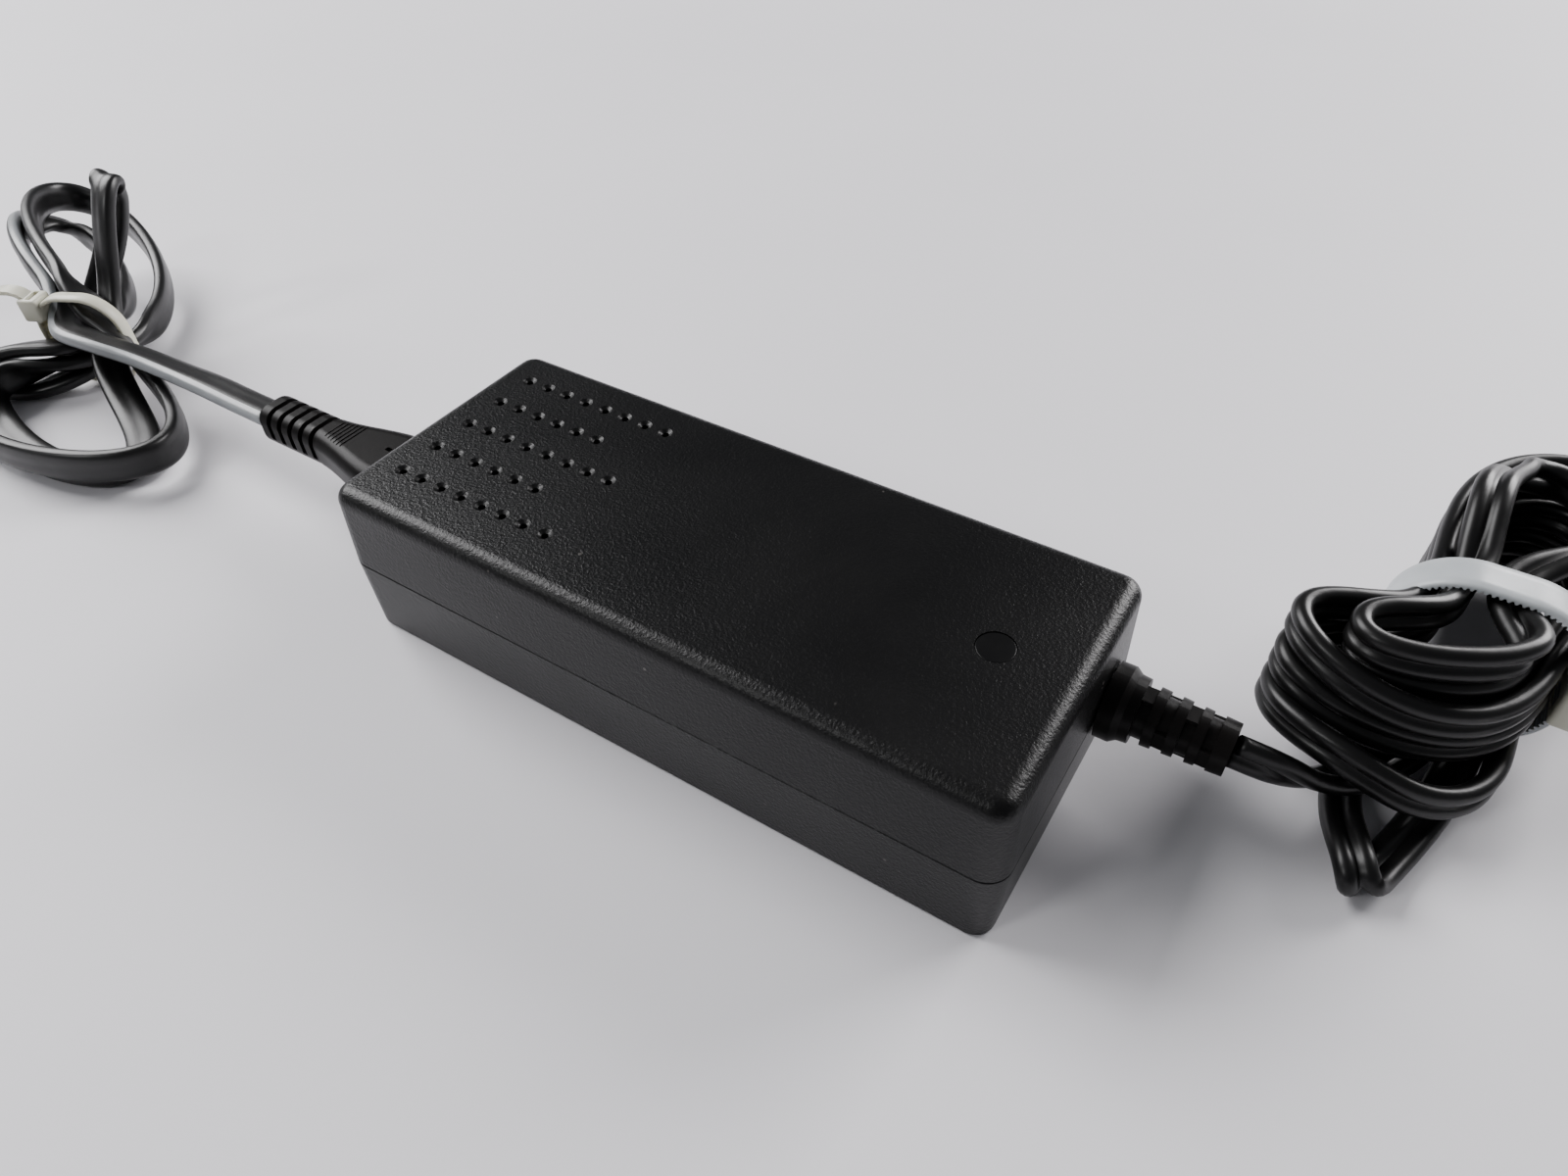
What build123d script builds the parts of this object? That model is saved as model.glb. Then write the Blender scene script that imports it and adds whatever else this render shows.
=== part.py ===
from build123d import *
import os
from math import atan, degrees, radians, tan

os.makedirs("parts", exist_ok=True)

# Laptop power adapter. Millimetres, +Z up. The origin is the centre of the
# case's footprint, on the surface it stands on. +X runs along the case to the
# low-voltage lead, and the mains connector plugs in at -X.

# ---------------------------------------------------------------- dimensions
case_l, case_w, case_h = 129.2, 53.4, 32.0   # at the parting line, and height
part_z = 15.9                                # parting line
wall, roof, floor_t = 2.2, 2.2, 2.2
top_in, bot_in = 0.59, 0.72                  # draft: how far each end draws in
top_draft = degrees(atan(top_in / (case_h - part_z)))
bot_draft = degrees(atan(bot_in / part_z))
corner_r, top_edge_r, bottom_edge_r = 4.2, 2.9, 0.6
groove = 0.22                                # chamfer along the parting line

vent_x0, vent_pitch = -56.4, 4.72            # first hole and pitch in a row
vent_rows = [(17.4, 8), (9.2, 6), (1.0, 8), (-7.2, 6), (-15.4, 8)]
vent_r, vent_dish_r, vent_angle = 0.65, 1.35, 112

led_x, led_r = 49.8, 3.1

pcb_l, pcb_w, pcb_t, pcb_z = 118.0, 45.0, 1.6, 5.0
deck = pcb_z + pcb_t                         # top of the board

in_y, in_z = -3.3, 15.2                      # axis of the mains inlet
in_face = -64.1                              # front face of the inlet housing
pin_r, pin_pitch = 1.18, 8.6
sleeve_clear = 0.05                          # pin in its contact sleeve

out_y, out_z = 13.8, 15.9                    # axis of the low-voltage lead

mains_w, mains_t = 7.6, 3.6                  # flat two-core cord
dc_w, dc_t = 6.4, 3.2                        # twin cord

barrel_r, barrel_bore_r, barrel_l = 2.75, 1.25, 9.5

YZ = Plane.YZ


def corner_radii(pts):
    """0.45 of the shorter run over tan(half the turn), at each inner point."""
    v = [Vector(*p) for p in pts]
    out = []
    for a, b, c in zip(v, v[1:], v[2:]):
        turn = (b - a).get_angle(c - b)
        out.append(0.45 * min((b - a).length, (c - b).length) / tan(radians(turn / 2)))
    return out


# ---------------------------------------------------------------- the case
with BuildPart() as top_shell:
    with BuildSketch(Plane.XY.offset(part_z)):
        RectangleRounded(case_l, case_w, corner_r)
    extrude(amount=case_h - part_z, taper=top_draft)
    fillet(top_shell.faces().sort_by(Axis.Z)[-1].edges(), top_edge_r)
    chamfer(top_shell.faces().sort_by(Axis.Z)[0].edges(), groove)
    # inside of the shell, and the rebate that the lower shell's tongue enters
    with BuildSketch(Plane.XY.offset(part_z)):
        RectangleRounded(case_l - 2 * wall, case_w - 2 * wall, corner_r - wall)
    extrude(amount=case_h - roof - part_z, taper=top_draft, mode=Mode.SUBTRACT)
    with BuildSketch(Plane.XY.offset(part_z)):
        RectangleRounded(case_l - 2.0, case_w - 2.0, corner_r - 1.0)
    extrude(amount=1.7, mode=Mode.SUBTRACT)
    # vent holes, each in its dimple
    with Locations(*[Location((vent_x0 + i * vent_pitch, y, case_h)) for y, n in vent_rows for i in range(n)]):
        CounterSinkHole(vent_r, vent_dish_r, depth=roof + 1, counter_sink_angle=vent_angle)
    # window for the indicator
    with BuildSketch(Plane.XY.offset(case_h - roof - 1)):
        with Locations((led_x, 0)):
            Circle(led_r + 0.04)
    extrude(amount=roof + 2, mode=Mode.SUBTRACT)
    # openings for the inlet and for the lead's neck
    with BuildSketch(YZ.offset(-70)):
        with Locations((in_y, in_z)):
            RectangleRounded(20.2, 13.2, 1.4)
    extrude(amount=9.5, mode=Mode.SUBTRACT)
    with BuildSketch(YZ.offset(60)):
        with Locations((out_y, out_z)):
            Circle(4.8)
    extrude(amount=10, mode=Mode.SUBTRACT)
    # ribs that press on the board's edges
    with BuildSketch(Plane.XY.offset(part_z + 3)):
        with Locations((-30, 24.2), (0, 24.2), (30, 24.2), (-30, -24.2), (0, -24.2), (30, -24.2)):
            Rectangle(1.4, 1.4)
    extrude(amount=case_h - roof - part_z - 3 + 0.5)

with BuildPart() as bottom_shell:
    with BuildSketch(Plane.XY):
        RectangleRounded(case_l - 2 * bot_in, case_w - 2 * bot_in, corner_r - bot_in)
    extrude(amount=part_z, taper=-bot_draft)
    chamfer(bottom_shell.faces().sort_by(Axis.Z)[-1].edges(), groove)
    fillet(bottom_shell.faces().sort_by(Axis.Z)[0].edges(), bottom_edge_r)
    with BuildSketch(Plane.XY.offset(floor_t)):
        RectangleRounded(case_l - 2 * wall - 2 * bot_in, case_w - 2 * wall - 2 * bot_in, corner_r - wall - bot_in)
    extrude(amount=part_z - floor_t, taper=-bot_draft, mode=Mode.SUBTRACT)
    # tongue along the rim
    with BuildSketch(Plane.XY.offset(part_z - 2)):
        RectangleRounded(case_l - 2.2, case_w - 2.2, corner_r - 1.1)
        RectangleRounded(case_l - 4.2, case_w - 4.2, corner_r - 2.1, mode=Mode.SUBTRACT)
    extrude(amount=3.5)
    # posts under the board
    with BuildSketch(Plane.XY.offset(floor_t - 0.5)):
        with GridLocations(106, 36, 2, 2):
            Circle(2.6)
    extrude(amount=pcb_z - floor_t + 0.5)
    # recess for the label underneath
    with BuildSketch(Plane.XY):
        RectangleRounded(92, 38, 2)
    extrude(amount=0.25, mode=Mode.SUBTRACT)
    with BuildSketch(YZ.offset(-70)):
        with Locations((in_y, in_z)):
            RectangleRounded(20.2, 13.2, 1.4)
    extrude(amount=9.5, mode=Mode.SUBTRACT)
    with BuildSketch(YZ.offset(60)):
        with Locations((out_y, out_z)):
            Circle(4.8)
    extrude(amount=10, mode=Mode.SUBTRACT)

with BuildPart() as rating_label:
    with BuildSketch(Plane.XY.offset(0.1)):
        RectangleRounded(91, 37, 1.8)
    extrude(amount=0.15)

with BuildPart() as led_window:
    with BuildSketch(Plane.XY.offset(case_h - roof - 0.8)):
        with Locations((led_x, 0)):
            Circle(led_r + 1.0)
    extrude(amount=0.75)
    with BuildSketch(Plane.XY.offset(case_h - roof - 0.1)):
        with Locations((led_x, 0)):
            Circle(led_r)
    extrude(amount=roof + 0.02)
    fillet(led_window.faces().sort_by(Axis.Z)[-1].edges(), 0.25)

# ---------------------------------------------------------------- the board
with BuildPart() as insulating_sheet:
    with BuildSketch(Plane.XY.offset(floor_t)):
        RectangleRounded(116, 44, 1.5)
        with GridLocations(106, 36, 2, 2):
            Circle(3.2, mode=Mode.SUBTRACT)
    extrude(amount=0.4)

with BuildPart() as main_pcb:
    with BuildSketch(Plane.XY.offset(pcb_z)):
        RectangleRounded(pcb_l, pcb_w, 1.0)
        with Locations((2, 0)):
            SlotOverall(30, 1.4, rotation=90, mode=Mode.SUBTRACT)   # creepage slot
    extrude(amount=pcb_t)

with BuildPart() as ac_inlet:
    with BuildSketch(YZ.offset(in_face)):
        with Locations((in_y, in_z)):
            RectangleRounded(20.0, 13.0, 1.3)
    extrude(amount=13.6)
    with BuildSketch(YZ.offset(-61.9)):
        with Locations((in_y, in_z)):
            RectangleRounded(23.0, 16.0, 1.5)
    extrude(amount=1.5)
    with BuildSketch(Plane.XY.offset(deck)):
        with Locations((-54.5, in_y)):
            Rectangle(7, 14)
    extrude(amount=3)
    # figure-8 mouth
    with BuildSketch(YZ.offset(in_face)):
        with Locations((in_y - 3.55, in_z), (in_y + 3.55, in_z)):
            Circle(4.1)
        with Locations((in_y, in_z)):
            Rectangle(7.1, 7.0)
    extrude(amount=11.2, mode=Mode.SUBTRACT)
    with BuildSketch(YZ.offset(-54)):
        with Locations((in_y, in_z)):
            with GridLocations(pin_pitch, 1, 2, 1):
                Circle(pin_r + 0.02)
    extrude(amount=6, mode=Mode.SUBTRACT)

with BuildPart() as ac_inlet_pins:
    with BuildSketch(YZ.offset(-62)):
        with Locations((in_y, in_z)):
            with GridLocations(pin_pitch, 1, 2, 1):
                Circle(pin_r)
    extrude(amount=12.7)
    chamfer(ac_inlet_pins.faces().sort_by(Axis.X)[:2].edges(), 0.5)
    with BuildSketch(YZ.offset(-50.2)):
        with Locations((in_y - pin_pitch / 2, (deck + in_z) / 2), (in_y + pin_pitch / 2, (deck + in_z) / 2)):
            Rectangle(2.0, in_z - deck)
    extrude(amount=0.9)

with BuildPart() as mains_fuse:
    with BuildSketch(Plane.XY.offset(deck)):
        with Locations((-45.5, -17.2)):
            RectangleRounded(4.2, 8.4, 0.8)
    extrude(amount=7.6)
    fillet(mains_fuse.faces().sort_by(Axis.Z)[-1].edges(), 0.5)

with BuildPart() as inrush_thermistor:
    with BuildSketch(Plane.XZ.offset(-15.5)):
        with Locations((-44.5, deck + 7.2)):
            Circle(4.6)
    extrude(amount=4.0)
    fillet(inrush_thermistor.edges().filter_by(GeomType.CIRCLE), 1.2)
    with BuildSketch(Plane.XY.offset(deck)):
        with Locations((-46.9, 13.5), (-42.1, 13.5)):
            Circle(0.4)
    extrude(amount=5)

with BuildPart() as x_capacitor:
    with BuildSketch(Plane.XY.offset(deck)):
        with Locations((-32.5, -16.8)):
            RectangleRounded(17.5, 8.0, 0.4)
    extrude(amount=14)
    fillet(x_capacitor.faces().sort_by(Axis.Z)[-1].edges(), 0.5)

ck_x, ck_y = -32.0, 0.5
with BuildPart() as choke_core:
    with BuildSketch(Plane.XY.offset(deck + 3)):
        with Locations((ck_x, ck_y)):
            Rectangle(17, 15)
            Rectangle(8.6, 8.0, mode=Mode.SUBTRACT)
    extrude(amount=7)
with BuildPart() as choke_windings:
    with BuildSketch(Plane.XZ.offset(-(ck_y + 3.6))):
        with Locations((ck_x - 6.4, deck + 6.5), (ck_x + 6.4, deck + 6.5)):
            RectangleRounded(7.8, 11.4, 2.6)
            Rectangle(4.7, 7.3, mode=Mode.SUBTRACT)
    extrude(amount=7.2)

with BuildPart() as bridge_rectifier:
    with BuildSketch(Plane.XY.offset(deck + 2)):
        with Locations((-13.5, -19.6)):
            RectangleRounded(19, 3.6, 0.5)
    extrude(amount=14)
    with BuildSketch(Plane.XY.offset(deck)):
        with Locations((-13.5, -19.6)):
            with GridLocations(5.08, 1, 4, 1):
                Rectangle(1.1, 0.8)
    extrude(amount=2.2)

bulk_r = 8.6
with BuildPart() as bulk_capacitor:
    with BuildSketch(YZ.offset(-22)):
        with Locations((13.4, deck + bulk_r + 0.3)):
            Circle(bulk_r)
    extrude(amount=31)
    fillet(bulk_capacitor.edges().filter_by(GeomType.CIRCLE), 0.9)
    with BuildSketch(YZ.offset(-21)):
        with Locations((13.4, deck + bulk_r + 0.3)):
            Circle(bulk_r + 1)
            Circle(bulk_r - 0.45, mode=Mode.SUBTRACT)
    extrude(amount=1.2, mode=Mode.SUBTRACT)

with BuildPart() as primary_heatsink:
    with BuildSketch(Plane.XY.offset(deck)):
        with Locations((8.5, -20.6)):
            Rectangle(20, 2.0)
        with Locations((8.5, -17.1)):
            Rectangle(20, 5.0)
    extrude(amount=19)
    with BuildSketch(Plane.XY.offset(deck)):
        with Locations((8.5, -17.0)):
            Rectangle(20, 5.3)
    extrude(amount=17, mode=Mode.SUBTRACT)

with BuildPart() as mosfet:
    with BuildSketch(Plane.XY.offset(deck + 3)):
        with Locations((4.5, -17.35)):
            Rectangle(10.2, 4.4)
    extrude(amount=9)
    with BuildSketch(Plane.XY.offset(deck)):
        with Locations((4.5, -17.35)):
            with GridLocations(2.54, 1, 3, 1):
                Rectangle(0.9, 0.5)
    extrude(amount=3.2)
    with BuildSketch(Plane.XZ.offset(10)):
        with Locations((4.5, deck + 9.2)):
            Circle(1.65)
    extrude(amount=15, mode=Mode.SUBTRACT)

tr_x, tr_y = 26.0, 0.0
with BuildPart() as transformer_core:
    with BuildSketch(Plane.XY.offset(deck + 2.0)):
        with Locations((tr_x, tr_y)):
            Rectangle(20, 26)
    extrude(amount=18.5)
    with BuildSketch(Plane.XY.offset(deck + 5.6)):
        with Locations((tr_x, tr_y)):
            Rectangle(30, 20.4)
    extrude(amount=11.3, mode=Mode.SUBTRACT)
    with BuildSketch(Plane.XY.offset(deck + 5.0)):
        with Locations((tr_x, tr_y)):
            Circle(5.4)
    extrude(amount=12.5)
with BuildPart() as transformer_bobbin:
    with BuildSketch(Plane.XY.offset(deck + 5.7)):
        with Locations((tr_x, tr_y)):
            Circle(6.6)
            Circle(5.5, mode=Mode.SUBTRACT)
    extrude(amount=11.1)
    with BuildSketch(Plane.XY.offset(deck + 5.7)):
        with Locations((tr_x, tr_y)):
            RectangleRounded(25, 20.2, 3)
            Circle(5.5, mode=Mode.SUBTRACT)
    extrude(amount=0.8)
    with BuildSketch(Plane.XY.offset(deck + 16.0)):
        with Locations((tr_x, tr_y)):
            RectangleRounded(25, 20.2, 3)
            Circle(5.5, mode=Mode.SUBTRACT)
    extrude(amount=0.8)
    # pin rails, outside the core
    with BuildSketch(Plane.XY.offset(deck)):
        with Locations((tr_x - 12.3, tr_y), (tr_x + 12.3, tr_y)):
            Rectangle(3.4, 19)
    extrude(amount=6.5)
with BuildPart() as transformer_winding:
    with BuildSketch(Plane.XY.offset(deck + 6.6)):
        with Locations((tr_x, tr_y)):
            Circle(9.7)
            Circle(6.7, mode=Mode.SUBTRACT)
    extrude(amount=9.3)
    fillet(transformer_winding.edges().group_by(Axis.Z)[-1].sort_by(SortBy.RADIUS)[-1], 0.8)

with BuildPart() as y_capacitors:
    for yy in (-19.2, 19.2):
        with BuildSketch(Plane.XZ.offset(-yy - 1.4)):
            with Locations((24, deck + 5.6)):
                Circle(3.9)
        extrude(amount=2.8)
    fillet(y_capacitors.edges().filter_by(GeomType.CIRCLE), 0.9)
    with BuildSketch(Plane.XY.offset(deck)):
        with Locations((21.5, -19.2), (26.5, -19.2), (21.5, 19.2), (26.5, 19.2)):
            Circle(0.35)
    extrude(amount=4)

with BuildPart() as secondary_heatsink:
    with BuildSketch(Plane.XY.offset(deck)):
        with Locations((42.5, -20.6)):
            Rectangle(20, 2.0)
    extrude(amount=20)
    with BuildSketch(Plane.XY.offset(deck + 18.2)):
        with Locations((42.5, -18.0)):
            Rectangle(20, 6.5)
    extrude(amount=1.8)

with BuildPart() as output_rectifier:
    with BuildSketch(Plane.XY.offset(deck + 3)):
        with Locations((40.5, -17.35)):
            Rectangle(10.2, 4.4)
    extrude(amount=9)
    with BuildSketch(Plane.XY.offset(deck)):
        with Locations((40.5, -17.35)):
            with GridLocations(2.54, 1, 3, 1):
                Rectangle(0.9, 0.5)
    extrude(amount=3.2)
    with BuildSketch(Plane.XZ.offset(10)):
        with Locations((40.5, deck + 9.2)):
            Circle(1.65)
    extrude(amount=15, mode=Mode.SUBTRACT)

with BuildPart() as heatsink_screws:
    with BuildSketch(Plane.XZ.offset(13.0)):
        with Locations((4.5, deck + 9.2), (40.5, deck + 9.2)):
            Circle(2.7)
    extrude(amount=2.1)
    with BuildSketch(Plane.XZ.offset(15.0)):
        with Locations((4.5, deck + 9.2), (40.5, deck + 9.2)):
            Circle(1.5)
    extrude(amount=4.5)
    with BuildSketch(Plane.XZ.offset(13.0)):
        with Locations((4.5, deck + 9.2), (40.5, deck + 9.2)):
            Rectangle(3.6, 0.8)
            Rectangle(0.8, 3.6)
    extrude(amount=0.9, mode=Mode.SUBTRACT)

with BuildPart() as output_capacitors:
    with BuildSketch(Plane.XY.offset(deck)):
        with Locations((46.5, 17.2), (46.5, 7.0)):
            Circle(4.9)
    extrude(amount=19)
    fillet(output_capacitors.edges().filter_by(GeomType.CIRCLE), 0.7)

with BuildPart() as output_choke:
    with BuildSketch(Plane.XY.offset(deck + 0.4)):
        with Locations((50.5, -9.0)):
            Circle(5.6)
            Circle(2.4, mode=Mode.SUBTRACT)
    extrude(amount=6)
    fillet(output_choke.edges().filter_by(GeomType.CIRCLE), 1.1)

with BuildPart() as pwm_controller:
    with BuildSketch(Plane.XY.offset(deck + 0.2)):
        with Locations((-12, -10)):
            Rectangle(4.9, 3.9)
    extrude(amount=1.5)
    with BuildSketch(Plane.XY.offset(deck)):
        with Locations((-12, -10)):
            with GridLocations(1.27, 5.4, 4, 2):
                Rectangle(0.42, 1.6)
    extrude(amount=0.35)

with BuildPart() as optocoupler:
    with BuildSketch(Plane.XY.offset(deck + 0.5)):
        with Locations((8.0, -8.5)):
            Rectangle(4.6, 6.4)
    extrude(amount=3.4)
    with BuildSketch(Plane.XY.offset(deck)):
        with Locations((8.0, -8.5)):
            with GridLocations(2.54, 7.0, 2, 2):
                Rectangle(0.6, 0.9)
    extrude(amount=1.6)

with BuildPart() as power_led:
    with BuildSketch(Plane.XY.offset(deck + 14)):
        with Locations((led_x, 0)):
            Circle(1.9)
    extrude(amount=1)
    with BuildSketch(Plane.XY.offset(deck + 14)):
        with Locations((led_x, 0)):
            Circle(1.5)
    extrude(amount=4.6)
    fillet(power_led.faces().sort_by(Axis.Z)[-1].edges(), 1.3)
    with BuildSketch(Plane.XY.offset(deck)):
        with Locations((led_x - 1.27, 0), (led_x + 1.27, 0)):
            Rectangle(0.5, 0.5)
    extrude(amount=14.2)

# ---------------------------------------------------------------- mains lead
nose_x0, nose_x1 = -64.85, -54.4
with BuildPart() as mains_connector:
    # slotted strain relief
    with BuildSketch(YZ.offset(-114.4)):
        with Locations((in_y, in_z)):
            RectangleRounded(9.2, 8.8, 3.1)
    extrude(amount=19)
    fillet(mains_connector.faces().sort_by(Axis.X)[0].edges(), 1.2)
    # flattened grip, widening towards the case
    with BuildSketch(YZ.offset(-95.9)):
        with Locations((in_y, in_z)):
            RectangleRounded(9.4, 9.0, 3.1)
    with BuildSketch(YZ.offset(-89.5)):
        with Locations((in_y, in_z)):
            RectangleRounded(11.8, 9.1, 3.2)
    with BuildSketch(YZ.offset(-83.0)):
        with Locations((in_y, in_z)):
            RectangleRounded(15.0, 9.3, 3.3)
    with BuildSketch(YZ.offset(-76.5)):
        with Locations((in_y, in_z)):
            RectangleRounded(16.9, 9.5, 3.4)
    loft()
    with BuildSketch(YZ.offset(-76.5)):
        with Locations((in_y, in_z)):
            RectangleRounded(16.9, 9.5, 3.4)
    extrude(amount=nose_x0 + 76.5)
    # nose that enters the inlet
    with BuildSketch(YZ.offset(nose_x0 - 1)):
        with Locations((in_y - 3.55, in_z), (in_y + 3.55, in_z)):
            Circle(3.7)
        with Locations((in_y, in_z)):
            Rectangle(7.1, 6.2)
    extrude(amount=nose_x1 - nose_x0 + 1)
    with BuildSketch(YZ.offset(nose_x1 - 9.4)):
        with Locations((in_y, in_z)):
            with GridLocations(pin_pitch, 1, 2, 1):
                Circle(1.8)
    extrude(amount=12, mode=Mode.SUBTRACT)
    # slots of the strain relief, open over the top and down both sides
    for i in range(5):
        with BuildSketch(YZ.offset(-111.2 + 3.3 * i)):
            with Locations((in_y, in_z + 3.0)):
                Rectangle(12, 9.6)
            with Locations((in_y, in_z)):
                RectangleRounded(5.6, 5.6, 2.0, mode=Mode.SUBTRACT)
            with Locations((in_y, in_z - 2.9)):
                Rectangle(5.6, 3.0, mode=Mode.SUBTRACT)
        extrude(amount=1.35, mode=Mode.SUBTRACT)
    # fine grip lines on the top and bottom faces
    with BuildSketch(Plane.XY.offset(in_z + 4.34)):
        with Locations((-91.0, in_y)):
            with GridLocations(1.1, 1, 6, 1):
                Rectangle(0.4, 7.6)
    extrude(amount=3, mode=Mode.SUBTRACT)
    with BuildSketch(Plane.XY.offset(in_z - 4.34)):
        with Locations((-91.0, in_y)):
            with GridLocations(1.1, 1, 6, 1):
                Rectangle(0.4, 7.6)
    extrude(amount=-3, mode=Mode.SUBTRACT)
    # witness hole of the moulding
    with BuildSketch(Plane.XY.offset(in_z + 3.0)):
        with Locations((-78.6, in_y + 0.5)):
            RectangleRounded(1.5, 1.0, 0.3)
    extrude(amount=5, mode=Mode.SUBTRACT)

with BuildPart() as mains_connector_contacts:
    with BuildSketch(YZ.offset(nose_x1 - 9.3)):
        with Locations((in_y, in_z)):
            with GridLocations(pin_pitch, 1, 2, 1):
                Circle(1.75)
                Circle(pin_r + sleeve_clear, mode=Mode.SUBTRACT)
    extrude(amount=8.7)

mains_pts = [(-113.6, -3.3, 15.2), (-126.0, -3.2, 15.0), (-139.0, -2.3, 14.2), (-152.0, -2.4, 13.7),
             (-164.5, -3.6, 14.6), (-175.5, -5.2, 17.0)]
mains_r = corner_radii(mains_pts)
print("mains_cord radii", [round(r, 1) for r in mains_r])
with BuildPart() as mains_cord:
    with BuildLine() as mains_line:
        FilletPolyline(*mains_pts, radius=mains_r)
    with BuildSketch(Plane(origin=mains_pts[0], x_dir=(0, 1, 0), z_dir=(Vector(*mains_pts[1]) - Vector(*mains_pts[0])).normalized())):
        SlotOverall(mains_w, mains_t)
    sweep()
mains_len = mains_line.wires()[0].length
print("mains_cord length", round(mains_len, 2), "volume", round(mains_cord.part.volume, 1),
      "section x length", round((mains_w * mains_t - mains_t ** 2 * (1 - 3.14159265 / 4)) * mains_len, 1))

# the tied hank: two lobes of loose turns with a waist between them
mw = Vector(-186.5, -3.0, 0)                       # middle of the waist
m_axis = Vector(-0.45, 0.89, 0).normalized()      # along the hank
m_plane = Plane(origin=(mw.X, mw.Y, 12.0), x_dir=m_axis.cross(Vector(0, 0, 1)) * -1, z_dir=m_axis)
with BuildPart() as mains_low_lobe:
    with BuildSketch(Plane.XY.offset(0.2)):
        with Locations((-139.5, -19), (-141.5, -29), (-160, -37), (-176, -37.5), (-196, -28), (-201, -19), (-192, -9), (-164, -4), (-178, -4)):
            Circle(5.0)
        make_hull()
    extrude(amount=9.0)
    fillet(mains_low_lobe.edges().group_by(Axis.Z)[0] + mains_low_lobe.edges().group_by(Axis.Z)[-1], 2.6)
with BuildPart() as mains_high_lobe:
    with BuildSketch(Plane.XY.offset(2.0)):
        with Locations((-193, 4), (-199, 23), (-230, 34.5), (-243, 33), (-243.5, 22), (-236, 15), (-212, 5)):
            Circle(6.0)
        make_hull()
    extrude(amount=25.0)
    fillet(mains_high_lobe.edges().group_by(Axis.Z)[0] + mains_high_lobe.edges().group_by(Axis.Z)[-1], 4.0)
with BuildPart() as mains_strap_loop:
    with BuildSketch(Plane.XY.offset(9.0)):
        with Locations((-188.5, 7.5), (-190.5, 19.5), (-199.5, 20.5), (-202.5, 13.5)):
            Circle(4.0)
        make_hull()
    extrude(amount=37.5)
    fillet(mains_strap_loop.edges().group_by(Axis.Z)[-1], 2.6)
with BuildPart() as mains_left_loop:
    with BuildSketch(Plane.XY.offset(14.0)):
        with Locations((-200, 0.5), (-214, 3), (-230, 11), (-205, 12)):
            Circle(3.6)
        make_hull()
    extrude(amount=14.4)
    fillet(mains_left_loop.edges().group_by(Axis.Z)[-1], 2.4)
with BuildPart() as mains_waist:
    with BuildSketch(m_plane.offset(-11)):
        RectangleRounded(18.0, 20.0, 6.0)
    extrude(amount=22)
with BuildPart() as mains_cord_bundle:
    add(mains_low_lobe.part)
    add(mains_high_lobe.part)
    add(mains_strap_loop.part)
    add(mains_left_loop.part)
    with BuildSketch(m_plane.offset(-3.1)):
        Rectangle(90, 120)
        RectangleRounded(18.0, 20.0, 6.0, mode=Mode.SUBTRACT)
    extrude(amount=6.2, mode=Mode.SUBTRACT)
    add(mains_waist.part)

with BuildPart() as mains_cable_tie:
    with BuildSketch(m_plane.offset(-1.8)):
        RectangleRounded(20.9, 22.9, 7.4)
        RectangleRounded(18.4, 20.4, 6.2, mode=Mode.SUBTRACT)
    extrude(amount=3.6)
    # head, and the tail pulled through it
    with BuildSketch(m_plane.offset(-2.9)):
        with Locations((9.6, 8.6)):
            Rectangle(4.6, 5.6)
    extrude(amount=5.8)
    with BuildSketch(m_plane.offset(-2.9)):
        RectangleRounded(18.4, 20.4, 6.2)
    extrude(amount=5.8, mode=Mode.SUBTRACT)
    with BuildSketch(m_plane.offset(-1.8)):
        with Locations((19.5, 9.9)):
            Rectangle(17.0, 1.2)
    extrude(amount=3.6)

mains_tail_pts = [(-202.5, -20.5, 2.6), (-208.5, -23.6, 2.6), (-214.8, -25.2, 4.4), (-221.6, -25.2, 7.5)]
tail_r = corner_radii(mains_tail_pts)
print("mains_cord_tail radii", [round(r, 1) for r in tail_r])
with BuildPart() as mains_cord_tail:
    with BuildLine() as tail_line:
        FilletPolyline(*mains_tail_pts, radius=tail_r)
    with BuildSketch(Plane(origin=mains_tail_pts[0], x_dir=(-0.44, 0.9, 0), z_dir=(Vector(*mains_tail_pts[1]) - Vector(*mains_tail_pts[0])).normalized())):
        SlotOverall(mains_w, mains_t)
    sweep()
print("mains_cord_tail length", round(tail_line.wires()[0].length, 2), "volume", round(mains_cord_tail.part.volume, 1),
      "section x length", round((mains_w * mains_t - mains_t ** 2 * (1 - 3.14159265 / 4)) * tail_line.wires()[0].length, 1))

# two-blade mains plug, lying flat
pl_y, pl_z = -25.2, 7.6
with BuildPart() as mains_plug_overmould:
    with BuildSketch(YZ.offset(-222.4 + 1.6)):
        with Locations((pl_y, pl_z)):
            RectangleRounded(9.4, 5.8, 2.4)
    with BuildSketch(YZ.offset(-236)):
        with Locations((pl_y, pl_z)):
            RectangleRounded(12.5, 9.5, 3.4)
    with BuildSketch(YZ.offset(-246)):
        with Locations((pl_y, pl_z)):
            RectangleRounded(22.0, 13.5, 4.5)
    with BuildSketch(YZ.offset(-262)):
        with Locations((pl_y, pl_z)):
            RectangleRounded(24.0, 14.4, 4.5)
    loft()
    fillet(mains_plug_overmould.faces().sort_by(Axis.X)[0].edges(), 1.2)
    # slots round the strain relief
    for i in range(4):
        with BuildSketch(YZ.offset(-225.2 - 3.0 * i)):
            with Locations((pl_y, pl_z)):
                Rectangle(24, 16)
                RectangleRounded(8.6, 4.6, 2.0, mode=Mode.SUBTRACT)
        extrude(amount=1.2, mode=Mode.SUBTRACT)
    with BuildSketch(YZ.offset(-262.1)):
        with Locations((pl_y, pl_z)):
            with GridLocations(12.7, 1, 2, 1):
                Rectangle(1.5, 6.35)
    extrude(amount=8.1, mode=Mode.SUBTRACT)

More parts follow.
